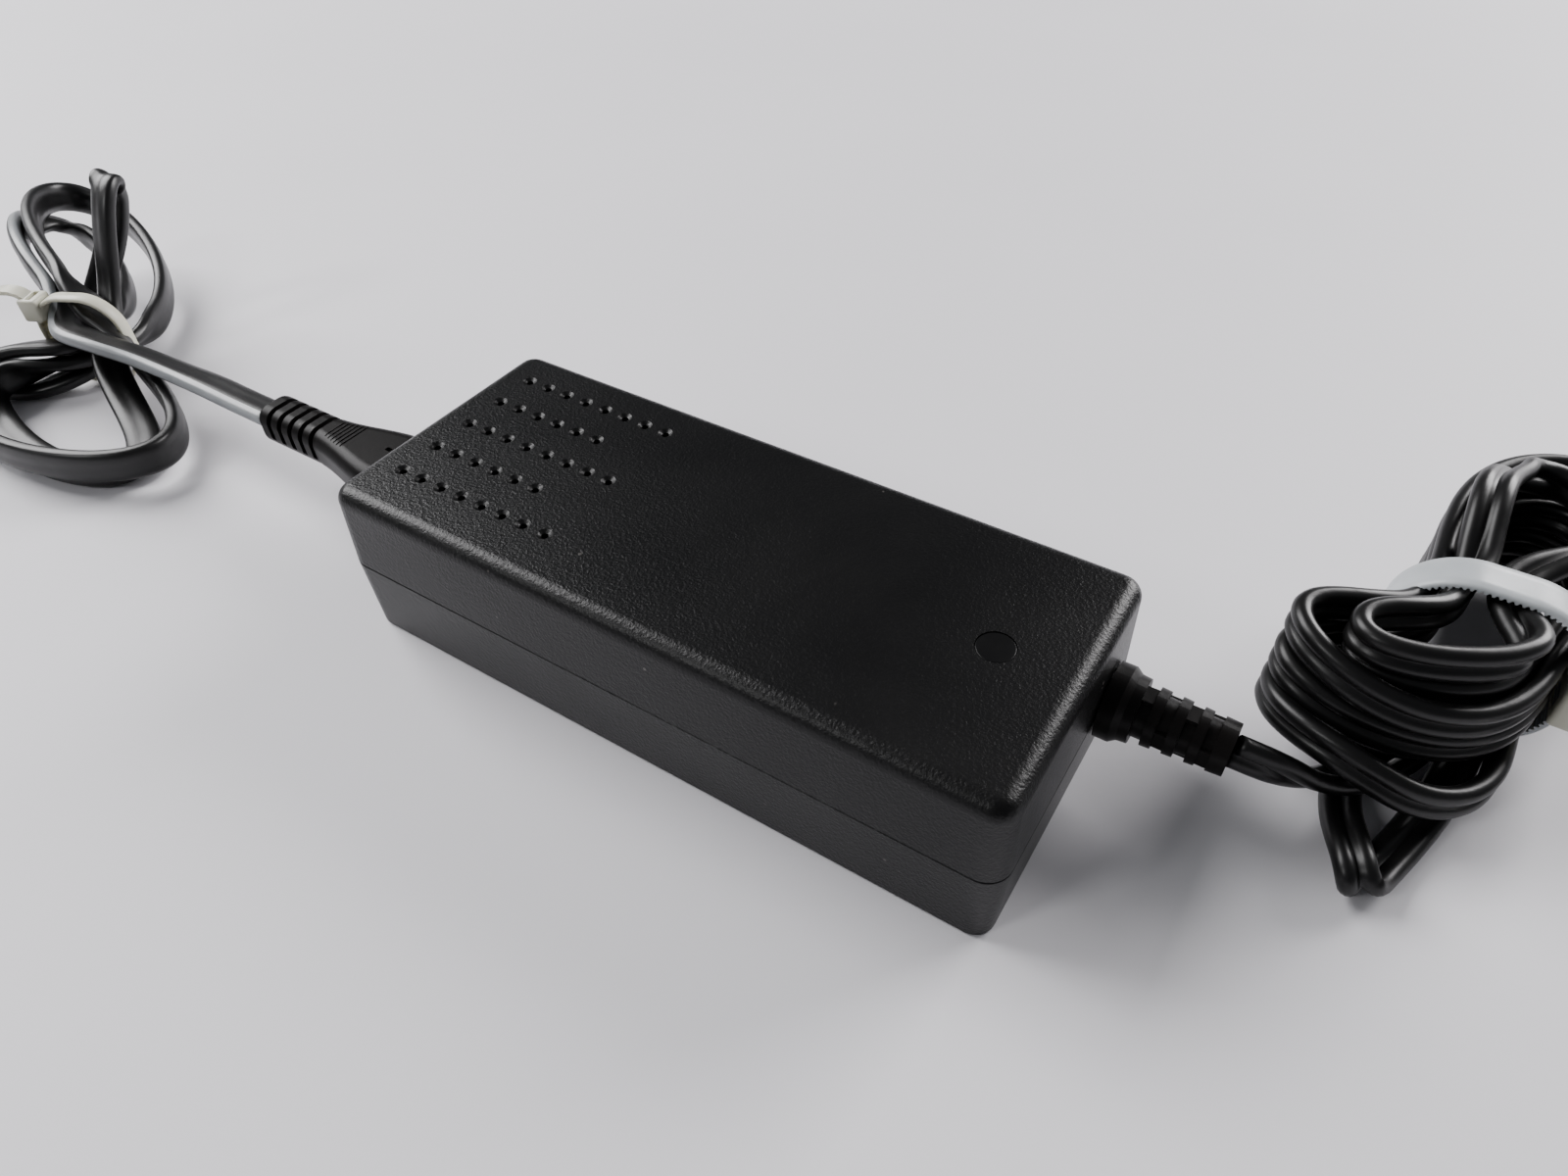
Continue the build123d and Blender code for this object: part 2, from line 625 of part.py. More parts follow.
with BuildPart() as mains_plug_blades:
    with BuildSketch(Plane.XZ.offset(-pl_y - 12.7 / 2 - 0.75)):
        with Locations((-266.4, pl_z)):
            Rectangle(24.8, 6.35)
        with Locations((-276.0, pl_z)):
            Circle(1.55, mode=Mode.SUBTRACT)
    extrude(amount=1.5)
    with BuildSketch(Plane.XZ.offset(-pl_y + 12.7 / 2 - 0.75)):
        with Locations((-266.4, pl_z)):
            Rectangle(24.8, 6.35)
        with Locations((-276.0, pl_z)):
            Circle(1.55, mode=Mode.SUBTRACT)
    extrude(amount=1.5)
    chamfer(mains_plug_blades.edges().filter_by(Axis.Z).group_by(Axis.X)[0], 0.45)

# ---------------------------------------------------------------- low-voltage lead
ax = Plane(origin=(0, out_y, out_z), x_dir=(1, 0, 0), z_dir=(0, -1, 0))
with BuildPart() as dc_strain_relief:
    with BuildSketch(ax):
        with BuildLine():
            Polyline((59.4, 0), (59.4, 6.2), (61.9, 6.2), (61.9, 4.7), (64.8, 4.7), (64.8, 6.4), (67.2, 6.4),
                     (67.9, 5.9), (68.3, 5.6), (69.9, 5.45), (69.9, 4.15), (71.7, 4.05), (71.7, 4.9), (73.3, 4.8),
                     (73.3, 3.95), (75.1, 3.85), (75.1, 4.75), (76.7, 4.65), (76.7, 3.8), (78.5, 3.7), (78.5, 4.6),
                     (80.0, 4.5), (80.0, 3.7), (81.7, 3.65), (81.7, 4.5), (84.2, 4.35), (84.2, 0), close=True)
        make_face()
    revolve(axis=Axis((0, out_y, out_z), (1, 0, 0)))
    # webs between the rings, turned a quarter from one gap to the next
    with BuildSketch(YZ.offset(69.8)):
        with Locations((out_y, out_z)):
            Rectangle(3.2, 8.9)
    extrude(amount=2.0)
    with BuildSketch(YZ.offset(73.2)):
        with Locations((out_y, out_z)):
            Rectangle(8.7, 3.2)
    extrude(amount=2.0)
    with BuildSketch(YZ.offset(76.6)):
        with Locations((out_y, out_z)):
            Rectangle(3.2, 8.5)
    extrude(amount=2.0)
    with BuildSketch(YZ.offset(79.9)):
        with Locations((out_y, out_z)):
            Rectangle(8.3, 3.2)
    extrude(amount=1.9)

dc_pts = [(84.2, 13.8, 15.9), (88.0, 14.9, 14.7), (92.2, 17.4, 11.9), (96.2, 21.0, 8.2), (100.2, 25.6, 6.0)]
dc_r = corner_radii(dc_pts)
print("dc_cord radii", [round(r, 1) for r in dc_r])
with BuildPart() as dc_cord:
    with BuildLine() as dc_line:
        FilletPolyline(*dc_pts, radius=dc_r)
    with BuildSketch(Plane(origin=dc_pts[0], x_dir=(-0.28, 0.96, 0), z_dir=(Vector(*dc_pts[1]) - Vector(*dc_pts[0])).normalized())):
        SlotOverall(dc_w, dc_t)
    sweep()
print("dc_cord length", round(dc_line.wires()[0].length, 2), "volume", round(dc_cord.part.volume, 1),
      "section x length", round((dc_w * dc_t - dc_t ** 2 * (1 - 3.14159265 / 4)) * dc_line.wires()[0].length, 1))

# thick hank: front lobe, waist under the tie, back lobe, and one short loop on the floor
dwx, dwy = 111.5, 56.0
with BuildPart() as dc_front_lobe:
    with BuildSketch(Plane.XY.offset(0.4)):
        with Locations((93.5, 37.5), (95.0, 43.5), (105.0, 31.5), (113.0, 36.0), (114.5, 46.0), (105, 47)):
            Circle(8.6)
        make_hull()
    extrude(amount=30.2)
    fillet(dc_front_lobe.edges().group_by(Axis.Z)[0] + dc_front_lobe.edges().group_by(Axis.Z)[-1], 5.0)
with BuildPart() as dc_back_lobe:
    with BuildSketch(Plane.XY.offset(0.4)):
        with Locations((112.0, 71.0), (113.5, 90.0), (118.0, 97.0), (128.0, 93.0), (128.0, 78.0), (118, 66)):
            Circle(9.6)
        make_hull()
    extrude(amount=31.5)
    fillet(dc_back_lobe.edges().group_by(Axis.Z)[0] + dc_back_lobe.edges().group_by(Axis.Z)[-1], 5.0)
with BuildPart() as dc_floor_loop:
    with BuildSketch(Plane.XY.offset(0.2)):
        with Locations((105.5, 15.0), (108.5, 15.0), (104, 27), (112, 27)):
            Circle(3.8)
        make_hull()
    extrude(amount=6.6)
    fillet(dc_floor_loop.edges().group_by(Axis.Z)[0] + dc_floor_loop.edges().group_by(Axis.Z)[-1], 2.4)
with BuildPart() as dc_cord_bundle:
    add(dc_front_lobe.part)
    add(dc_back_lobe.part)
    with BuildSketch(Plane.XZ.offset(-dwy - 5.2)):
        with Locations((dwx, 15.8)):
            Rectangle(90, 90)
    extrude(amount=10.4, mode=Mode.SUBTRACT)
    add(dc_floor_loop.part)
    with BuildSketch(Plane.XZ.offset(-dwy - 13)):
        with Locations((dwx, 15.8)):
            RectangleRounded(26.4, 27.4, 10.5)
    extrude(amount=26)

with BuildPart() as dc_cable_tie:
    with BuildSketch(Plane.XZ.offset(-dwy - 4.75)):
        with Locations((dwx, 15.8)):
            RectangleRounded(29.8, 30.8, 12.0)
            RectangleRounded(26.8, 27.8, 10.7, mode=Mode.SUBTRACT)
    extrude(amount=9.5)
    # head and release tab at the right, tail hanging beside it
    with BuildSketch(Plane.XZ.offset(-dwy - 4.9)):
        with Locations((dwx + 16.2, 15.8)):
            RectangleRounded(5.4, 13.0, 1.0)
    extrude(amount=9.8)
    with BuildSketch(Plane.XZ.offset(-dwy - 7.0)):
        with Locations((dwx, 15.8)):
            RectangleRounded(26.8, 27.8, 10.7)
    extrude(amount=14.0, mode=Mode.SUBTRACT)

dc_tail_pts = [(131.0, 98.5, 5.0), (143.0, 96.0, 3.6), (151.5, 88.0, 3.6), (154.8, 76.5, 4.6), (154.5, 66.0, 5.6)]
dt_r = corner_radii(dc_tail_pts)
print("dc_cord_tail radii", [round(r, 1) for r in dt_r])
with BuildPart() as dc_cord_tail:
    with BuildLine() as dt_line:
        FilletPolyline(*dc_tail_pts, radius=dt_r)
    with BuildSketch(Plane(origin=dc_tail_pts[0], x_dir=(0.2, 0.98, 0), z_dir=(Vector(*dc_tail_pts[1]) - Vector(*dc_tail_pts[0])).normalized())):
        SlotOverall(dc_w, dc_t)
    sweep()
print("dc_cord_tail length", round(dt_line.wires()[0].length, 2), "volume", round(dc_cord_tail.part.volume, 1),
      "section x length", round((dc_w * dc_t - dc_t ** 2 * (1 - 3.14159265 / 4)) * dt_line.wires()[0].length, 1))

# barrel plug, pointing along -Y
px, pz, py0 = 154.5, 5.7, 66.6
pp = Plane(origin=(px, py0, pz), x_dir=(0, -1, 0), z_dir=(1, 0, 0))   # local x along the plug, local y is +Z
p_axis = Axis((px, py0, pz), (0, -1, 0))
with BuildPart() as dc_plug_overmould:
    with BuildSketch(pp):
        with BuildLine():
            Polyline((0, 0), (0, 3.5), (2.4, 3.7), (2.4, 3.0), (4.0, 3.1), (4.0, 3.9), (5.6, 4.0), (5.6, 3.2),
                     (7.2, 3.3), (7.2, 4.2), (8.8, 4.3), (8.8, 3.5), (10.2, 3.6), (10.2, 4.6), (13.0, 5.2),
                     (27.0, 5.2), (28.4, 4.4), (28.4, 0), close=True)
        make_face()
    revolve(axis=p_axis)
    with BuildSketch(pp):
        with BuildLine():
            Polyline((22.0, 0), (22.0, 2.55), (30.0, 2.55), (30.0, 0), close=True)
        make_face()
    revolve(axis=p_axis, mode=Mode.SUBTRACT)
with BuildPart() as dc_plug_barrel:
    with BuildSketch(pp):
        with BuildLine():
            Polyline((22.0, 2.35), (22.0, 2.55), (28.4, 2.55), (28.4, barrel_r), (28.4 + barrel_l, barrel_r),
                     (28.4 + barrel_l, 2.35), close=True)
        make_face()
    revolve(axis=p_axis)
with BuildPart() as dc_plug_insulator:
    with BuildSketch(pp):
        with BuildLine():
            Polyline((22.0, 1.6), (22.0, 2.35), (28.4 + barrel_l, 2.35), (28.4 + barrel_l, 1.6), close=True)
        make_face()
    revolve(axis=p_axis)
with BuildPart() as dc_plug_centre_contact:
    with BuildSketch(pp):
        with BuildLine():
            Polyline((22.0, 0), (22.0, 1.6), (28.4 + barrel_l - 0.3, 1.6), (28.4 + barrel_l - 0.3, barrel_bore_r),
                     (28.4, barrel_bore_r), (28.4, 0), close=True)
        make_face()
    revolve(axis=p_axis)

nodes = dict(
    top_shell=top_shell, bottom_shell=bottom_shell, rating_label=rating_label, led_window=led_window,
    insulating_sheet=insulating_sheet, main_pcb=main_pcb, ac_inlet=ac_inlet, ac_inlet_pins=ac_inlet_pins,
    mains_fuse=mains_fuse, inrush_thermistor=inrush_thermistor, x_capacitor=x_capacitor, choke_core=choke_core,
    choke_windings=choke_windings, bridge_rectifier=bridge_rectifier, bulk_capacitor=bulk_capacitor,
    primary_heatsink=primary_heatsink, mosfet=mosfet, transformer_core=transformer_core,
    transformer_bobbin=transformer_bobbin, transformer_winding=transformer_winding, y_capacitors=y_capacitors,
    secondary_heatsink=secondary_heatsink, output_rectifier=output_rectifier, heatsink_screws=heatsink_screws,
    output_capacitors=output_capacitors, output_choke=output_choke, pwm_controller=pwm_controller,
    optocoupler=optocoupler, power_led=power_led,
    mains_connector=mains_connector, mains_connector_contacts=mains_connector_contacts, mains_cord=mains_cord,
    mains_cord_bundle=mains_cord_bundle, mains_cable_tie=mains_cable_tie, mains_cord_tail=mains_cord_tail,
    mains_plug_overmould=mains_plug_overmould, mains_plug_blades=mains_plug_blades,
    dc_strain_relief=dc_strain_relief, dc_cord=dc_cord, dc_cord_bundle=dc_cord_bundle, dc_cable_tie=dc_cable_tie,
    dc_cord_tail=dc_cord_tail, dc_plug_overmould=dc_plug_overmould, dc_plug_barrel=dc_plug_barrel,
    dc_plug_insulator=dc_plug_insulator, dc_plug_centre_contact=dc_plug_centre_contact)
for name, node in nodes.items():
    node.part.label = name
    export_step(node.part, f"parts/{name}.step")
print(len(nodes), "nodes")
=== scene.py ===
import math

import bpy
import numpy as np
from mathutils import Matrix, Vector


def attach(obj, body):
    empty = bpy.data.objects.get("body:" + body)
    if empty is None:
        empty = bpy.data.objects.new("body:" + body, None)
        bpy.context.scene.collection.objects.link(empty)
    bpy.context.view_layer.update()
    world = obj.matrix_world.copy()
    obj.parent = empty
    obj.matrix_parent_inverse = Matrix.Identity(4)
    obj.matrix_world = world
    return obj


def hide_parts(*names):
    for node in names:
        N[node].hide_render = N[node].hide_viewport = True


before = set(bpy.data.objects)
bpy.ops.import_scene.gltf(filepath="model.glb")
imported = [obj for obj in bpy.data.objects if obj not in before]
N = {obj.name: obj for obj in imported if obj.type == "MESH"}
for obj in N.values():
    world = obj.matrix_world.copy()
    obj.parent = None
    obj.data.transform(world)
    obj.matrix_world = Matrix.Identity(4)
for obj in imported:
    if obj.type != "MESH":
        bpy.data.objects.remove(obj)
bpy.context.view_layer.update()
MM = 0.001

# ---------------------------------------------------------------- camera
cam_data = bpy.data.cameras.new("camera")
cam_data.sensor_fit = "HORIZONTAL"
cam_data.sensor_width = 36.0
cam_data.lens = 24.243
cam_data.clip_start = 0.005
camera = bpy.data.objects.new("camera", cam_data)
right = Vector((0.84338615, 0.537018, -0.01764824))
down = Vector((0.36244713, -0.592856, -0.71913409))
ahead = Vector((-0.39665082, 0.60011118, -0.69464717))
m = Matrix.Identity(4)
for k, axis in enumerate((right, -down, -ahead)):
    for r in range(3):
        m[r][k] = axis[r]
m.translation = Vector((0.081485, -0.103279, 0.144973))
camera.matrix_world = m
bpy.context.scene.collection.objects.link(camera)
bpy.context.scene.camera = camera

# ---------------------------------------------------------------- node helpers


class Mat:
    def __init__(self, name):
        self.m = bpy.data.materials.new(name)
        self.m.use_nodes = True
        self.t = self.m.node_tree
        self.b = next(n for n in self.t.nodes if n.type == "BSDF_PRINCIPLED")
        self.coord = self.t.nodes.new("ShaderNodeTexCoord").outputs["Object"]

    def put(self, **values):
        for key, v in values.items():
            name = key.replace("_", " ")
            self.b.inputs[name].default_value = v
        return self

    def link(self, a, b):
        self.t.links.new(a, b)

    def stretch(self, sx, sy, sz):
        n = self.t.nodes.new("ShaderNodeMapping")
        n.inputs["Scale"].default_value = (sx, sy, sz)
        self.link(self.coord, n.inputs["Vector"])
        return n.outputs["Vector"]

    def noise(self, scale, detail=3.0, rough=0.5, vec=None, distortion=0.0):
        n = self.t.nodes.new("ShaderNodeTexNoise")
        n.inputs["Scale"].default_value = scale
        n.inputs["Detail"].default_value = detail
        n.inputs["Roughness"].default_value = rough
        n.inputs["Distortion"].default_value = distortion
        self.link(vec or self.coord, n.inputs["Vector"])
        return n.outputs["Fac"]

    def cells(self, scale, vec=None, feature="F1"):
        n = self.t.nodes.new("ShaderNodeTexVoronoi")
        n.feature = feature
        n.inputs["Scale"].default_value = scale
        self.link(vec or self.coord, n.inputs["Vector"])
        return n.outputs["Distance"]

    def ramp(self, fac, *stops):
        n = self.t.nodes.new("ShaderNodeValToRGB")
        e = n.color_ramp.elements
        while len(e) < len(stops):
            e.new(0.5)
        for el, (pos, c) in zip(e, stops):
            el.position = pos
            el.color = (c, c, c, 1.0) if isinstance(c, (int, float)) else (*c, 1.0)
        self.link(fac, n.inputs["Fac"])
        return n.outputs["Color"]

    def math(self, op, a, b):
        n = self.t.nodes.new("ShaderNodeMath")
        n.operation = op
        for i, v in enumerate((a, b)):
            if isinstance(v, (int, float)):
                n.inputs[i].default_value = v
            else:
                self.link(v, n.inputs[i])
        return n.outputs[0]

    def mix(self, fac, a, b):
        n = self.t.nodes.new("ShaderNodeMix")
        n.data_type = "RGBA"
        if isinstance(fac, (int, float)):
            n.inputs[0].default_value = fac
        else:
            self.link(fac, n.inputs[0])
        for i, v in ((6, a), (7, b)):
            if isinstance(v, tuple):
                n.inputs[i].default_value = (*v, 1.0)
            else:
                self.link(v, n.inputs[i])
        return n.outputs[2]

    def bump(self, height, strength, distance, normal=None):
        n = self.t.nodes.new("ShaderNodeBump")
        n.inputs["Strength"].default_value = strength
        n.inputs["Distance"].default_value = distance
        self.link(height, n.inputs["Height"])
        if normal is not None:
            self.link(normal, n.inputs["Normal"])
        return n.outputs["Normal"]

    def color(self, out):
        self.link(out, self.b.inputs["Base Color"])
        return self

    def rough(self, out):
        self.link(out, self.b.inputs["Roughness"])
        return self

    def normal(self, out):
        self.link(out, self.b.inputs["Normal"])
        return self


def moulded(name, dark, light, r0, r1, grain=2200.0, height=0.00006, strength=0.6, specks=0.0, spec=0.5):
    """moulded plastic: fine eroded grain, cloudy colour, handling marks and a few dust specks"""
    a = Mat(name)
    cloud = a.noise(38.0, 5.0, 0.6)
    base = a.mix(a.ramp(cloud, (0.35, 0.0), (0.7, 1.0)), dark, light)
    if specks:
        dots = a.ramp(a.cells(210.0, vec=a.stretch(1, 1, 1)), (0.0, 1.0), (0.05, 1.0), (0.075, 0.0))
        keep = a.ramp(a.noise(55.0, 2.0), (0.60, 0.0), (0.64, 1.0))
        hair = a.ramp(a.noise(90.0, 4.0, 0.7, vec=a.stretch(1.0, 7.0, 1.0), distortion=1.5), (0.735, 0.0), (0.76, 1.0))
        dust = a.math("MULTIPLY", a.math("MULTIPLY", dots, keep), specks)
        base = a.mix(dust, base, (0.30, 0.28, 0.26))
        base = a.mix(a.math("MULTIPLY", hair, 0.10 * specks), base, (0.20, 0.19, 0.18))
    a.color(base)
    rub = a.noise(16.0, 4.0, 0.55, distortion=0.6)
    a.rough(a.ramp(rub, (0.3, r0), (0.75, r1)))
    fine = a.noise(grain, 2.0, 0.6)
    pits = a.cells(grain * 0.55)
    h = a.math("ADD", fine, a.math("MULTIPLY", pits, 0.5))
    a.normal(a.bump(h, strength, height))
    a.b.inputs["Specular IOR Level"].default_value = spec
    return a


def cord_jacket(name, dark, light, r0, r1, spec=0.5, coat=0.0):
    """extruded PVC: smooth, with a soft fine bump, rubbed patches and fine dust"""
    a = Mat(name)
    c = a.noise(60.0, 4.0, 0.6)
    base = a.mix(a.ramp(c, (0.35, 0.0), (0.7, 1.0)), dark, light)
    dust = a.ramp(a.noise(900.0, 3.0, 0.8), (0.66, 0.0), (0.74, 1.0))
    keep = a.ramp(a.noise(70.0, 2.0), (0.5, 0.0), (0.65, 1.0))
    base = a.mix(a.math("MULTIPLY", a.math("MULTIPLY", dust, keep), 0.07), base, (0.25, 0.24, 0.23))
    a.color(base)
    a.rough(a.ramp(a.noise(45.0, 5.0, 0.6), (0.3, r0), (0.72, r1)))
    soft = a.noise(260.0, 2.0, 0.5)
    fine = a.noise(3000.0, 2.0, 0.6)
    n1 = a.bump(soft, 0.18, 0.0003)
    a.normal(a.bump(fine, 0.25, 0.00002, n1))
    a.b.inputs["Specular IOR Level"].default_value = spec
    if coat:
        a.b.inputs["Coat Weight"].default_value = coat
        a.b.inputs["Coat Roughness"].default_value = 0.18
    return a


def metal(name, tint, tint2, r0, r1, scale=500.0, sx=1.0, sy=1.0, sz=14.0):
    a = Mat(name)
    a.put(Metallic=1.0)
    a.color(a.mix(a.ramp(a.noise(120.0, 3.0), (0.3, 0.0), (0.7, 1.0)), tint, tint2))
    lines = a.noise(scale, 4.0, 0.7, vec=a.stretch(sx, sy, sz))
    a.rough(a.ramp(lines, (0.3, r0), (0.7, r1)))
    a.normal(a.bump(lines, 0.12, 0.00003))
    return a


def plain(name, dark, light, r0, r1, scale=90.0, bump_scale=900.0, h=0.00004, metallic=0.0):
    a = Mat(name)
    a.put(Metallic=metallic)
    a.color(a.mix(a.ramp(a.noise(scale, 4.0, 0.6), (0.35, 0.0), (0.68, 1.0)), dark, light))
    a.rough(a.ramp(a.noise(scale * 1.7, 3.0), (0.3, r0), (0.7, r1)))
    a.normal(a.bump(a.noise(bump_scale, 3.0), 0.35, h))
    return a


def nylon(name, dark, light, r0=0.28, r1=0.46):
    a = Mat(name)
    a.color(a.mix(a.ramp(a.noise(70.0, 3.0), (0.3, 0.0), (0.7, 1.0)), dark, light))
    a.rough(a.ramp(a.noise(120.0, 3.0), (0.3, r0), (0.7, r1)))
    a.normal(a.bump(a.noise(700.0, 3.0), 0.25, 0.00004))
    a.b.inputs["Subsurface Weight"].default_value = 0.35
    a.b.inputs["Subsurface Radius"].default_value = (1.0, 0.95, 0.8)
    a.b.inputs["Subsurface Scale"].default_value = 0.0015
    return a


MATS = {
    "case_black": moulded("case_black_plastic", (0.0020, 0.0020, 0.0022), (0.0038, 0.0037, 0.0038), 0.29, 0.40, grain=2600.0, height=0.00009, strength=0.8, specks=0.35, spec=0.24),
    "inlet_black": moulded("inlet_black_plastic", (0.003, 0.003, 0.003), (0.005, 0.005, 0.005), 0.40, 0.55, spec=0.3, grain=2600.0, height=0.00003),
    "connector_black": moulded("connector_black_pvc", (0.0026, 0.0022, 0.0021), (0.0052, 0.0044, 0.0041), 0.34, 0.46, grain=1500.0, height=0.00003, strength=0.4, specks=0.2, spec=0.11),
    "cord_black": cord_jacket("dc_cord_pvc", (0.0024, 0.0024, 0.0026), (0.0044, 0.0042, 0.0041), 0.31, 0.43, spec=0.34),
    "tie_natural": nylon("tie_natural_nylon", (0.58, 0.57, 0.47), (0.68, 0.67, 0.56)),
    "window_smoked": plain("window_smoked_resin", (0.0010, 0.0010, 0.0012), (0.0018, 0.0018, 0.0020), 0.34, 0.42, h=0.00001).put(Specular_IOR_Level=0.17),
    "label": plain("label_film_blank", (0.055, 0.055, 0.058), (0.075, 0.075, 0.078), 0.35, 0.48),
    "board": plain("board_laminate", (0.02, 0.10, 0.045), (0.03, 0.14, 0.06), 0.30, 0.45),
    "sheet": plain("sheet_fibre", (0.62, 0.60, 0.52), (0.72, 0.70, 0.62), 0.45, 0.6),
    "nickel": metal("nickel_plate", (0.66, 0.64, 0.60), (0.76, 0.74, 0.70), 0.16, 0.34),
    "brass": metal("brass_contact", (0.72, 0.53, 0.24), (0.80, 0.62, 0.32), 0.2, 0.36),
    "heatsink": metal("heatsink_aluminium", (0.70, 0.70, 0.71), (0.80, 0.80, 0.81), 0.28, 0.46),
    "steel": metal("steel_screw", (0.50, 0.50, 0.51), (0.60, 0.60, 0.61), 0.22, 0.38),
    "ferrite": plain("ferrite_core", (0.025, 0.025, 0.027), (0.045, 0.045, 0.047), 0.4, 0.55),
    "copper": metal("copper_enamel", (0.62, 0.28, 0.14), (0.74, 0.36, 0.20), 0.2, 0.34),
    "film_yellow": plain("film_yellow_case", (0.72, 0.55, 0.10), (0.80, 0.63, 0.16), 0.3, 0.45),
    "disc_blue": plain("disc_blue_epoxy", (0.04, 0.12, 0.35), (0.06, 0.17, 0.45), 0.25, 0.4),
    "disc_green": plain("disc_green_epoxy", (0.05, 0.20, 0.09), (0.08, 0.28, 0.13), 0.25, 0.4),
    "sleeve_black": plain("sleeve_black_film", (0.012, 0.012, 0.014), (0.02, 0.02, 0.022), 0.2, 0.34),
    "epoxy": plain("epoxy_package", (0.018, 0.018, 0.018), (0.03, 0.03, 0.03), 0.35, 0.5),
    "led_green": plain("led_green_lens", (0.08, 0.42, 0.12), (0.12, 0.55, 0.18), 0.12, 0.2),
    "white_plastic": plain("white_plastic_insulator", (0.70, 0.69, 0.66), (0.80, 0.79, 0.76), 0.3, 0.42),
}
milky = nylon("tie_milky_nylon", (0.36, 0.385, 0.40), (0.46, 0.485, 0.50))
mains_jacket = cord_jacket("mains_cord_pvc", (0.0034, 0.0034, 0.0038), (0.0060, 0.0058, 0.0057), 0.30, 0.44, spec=0.42)
stripe = cord_jacket("mains_cord_stripe", (0.22, 0.235, 0.245), (0.30, 0.315, 0.325), 0.26, 0.38, spec=0.5)

for node in N.values():
    for s in node.material_slots:
        key = s.material.name.split(".")[0] if s.material else ""
        for k in sorted(MATS, key=len, reverse=True):
            if key == k or key.endswith(k) or key.startswith(k):
                s.material = MATS[k].m
                break
        else:
            print("no material for", node.name, key)

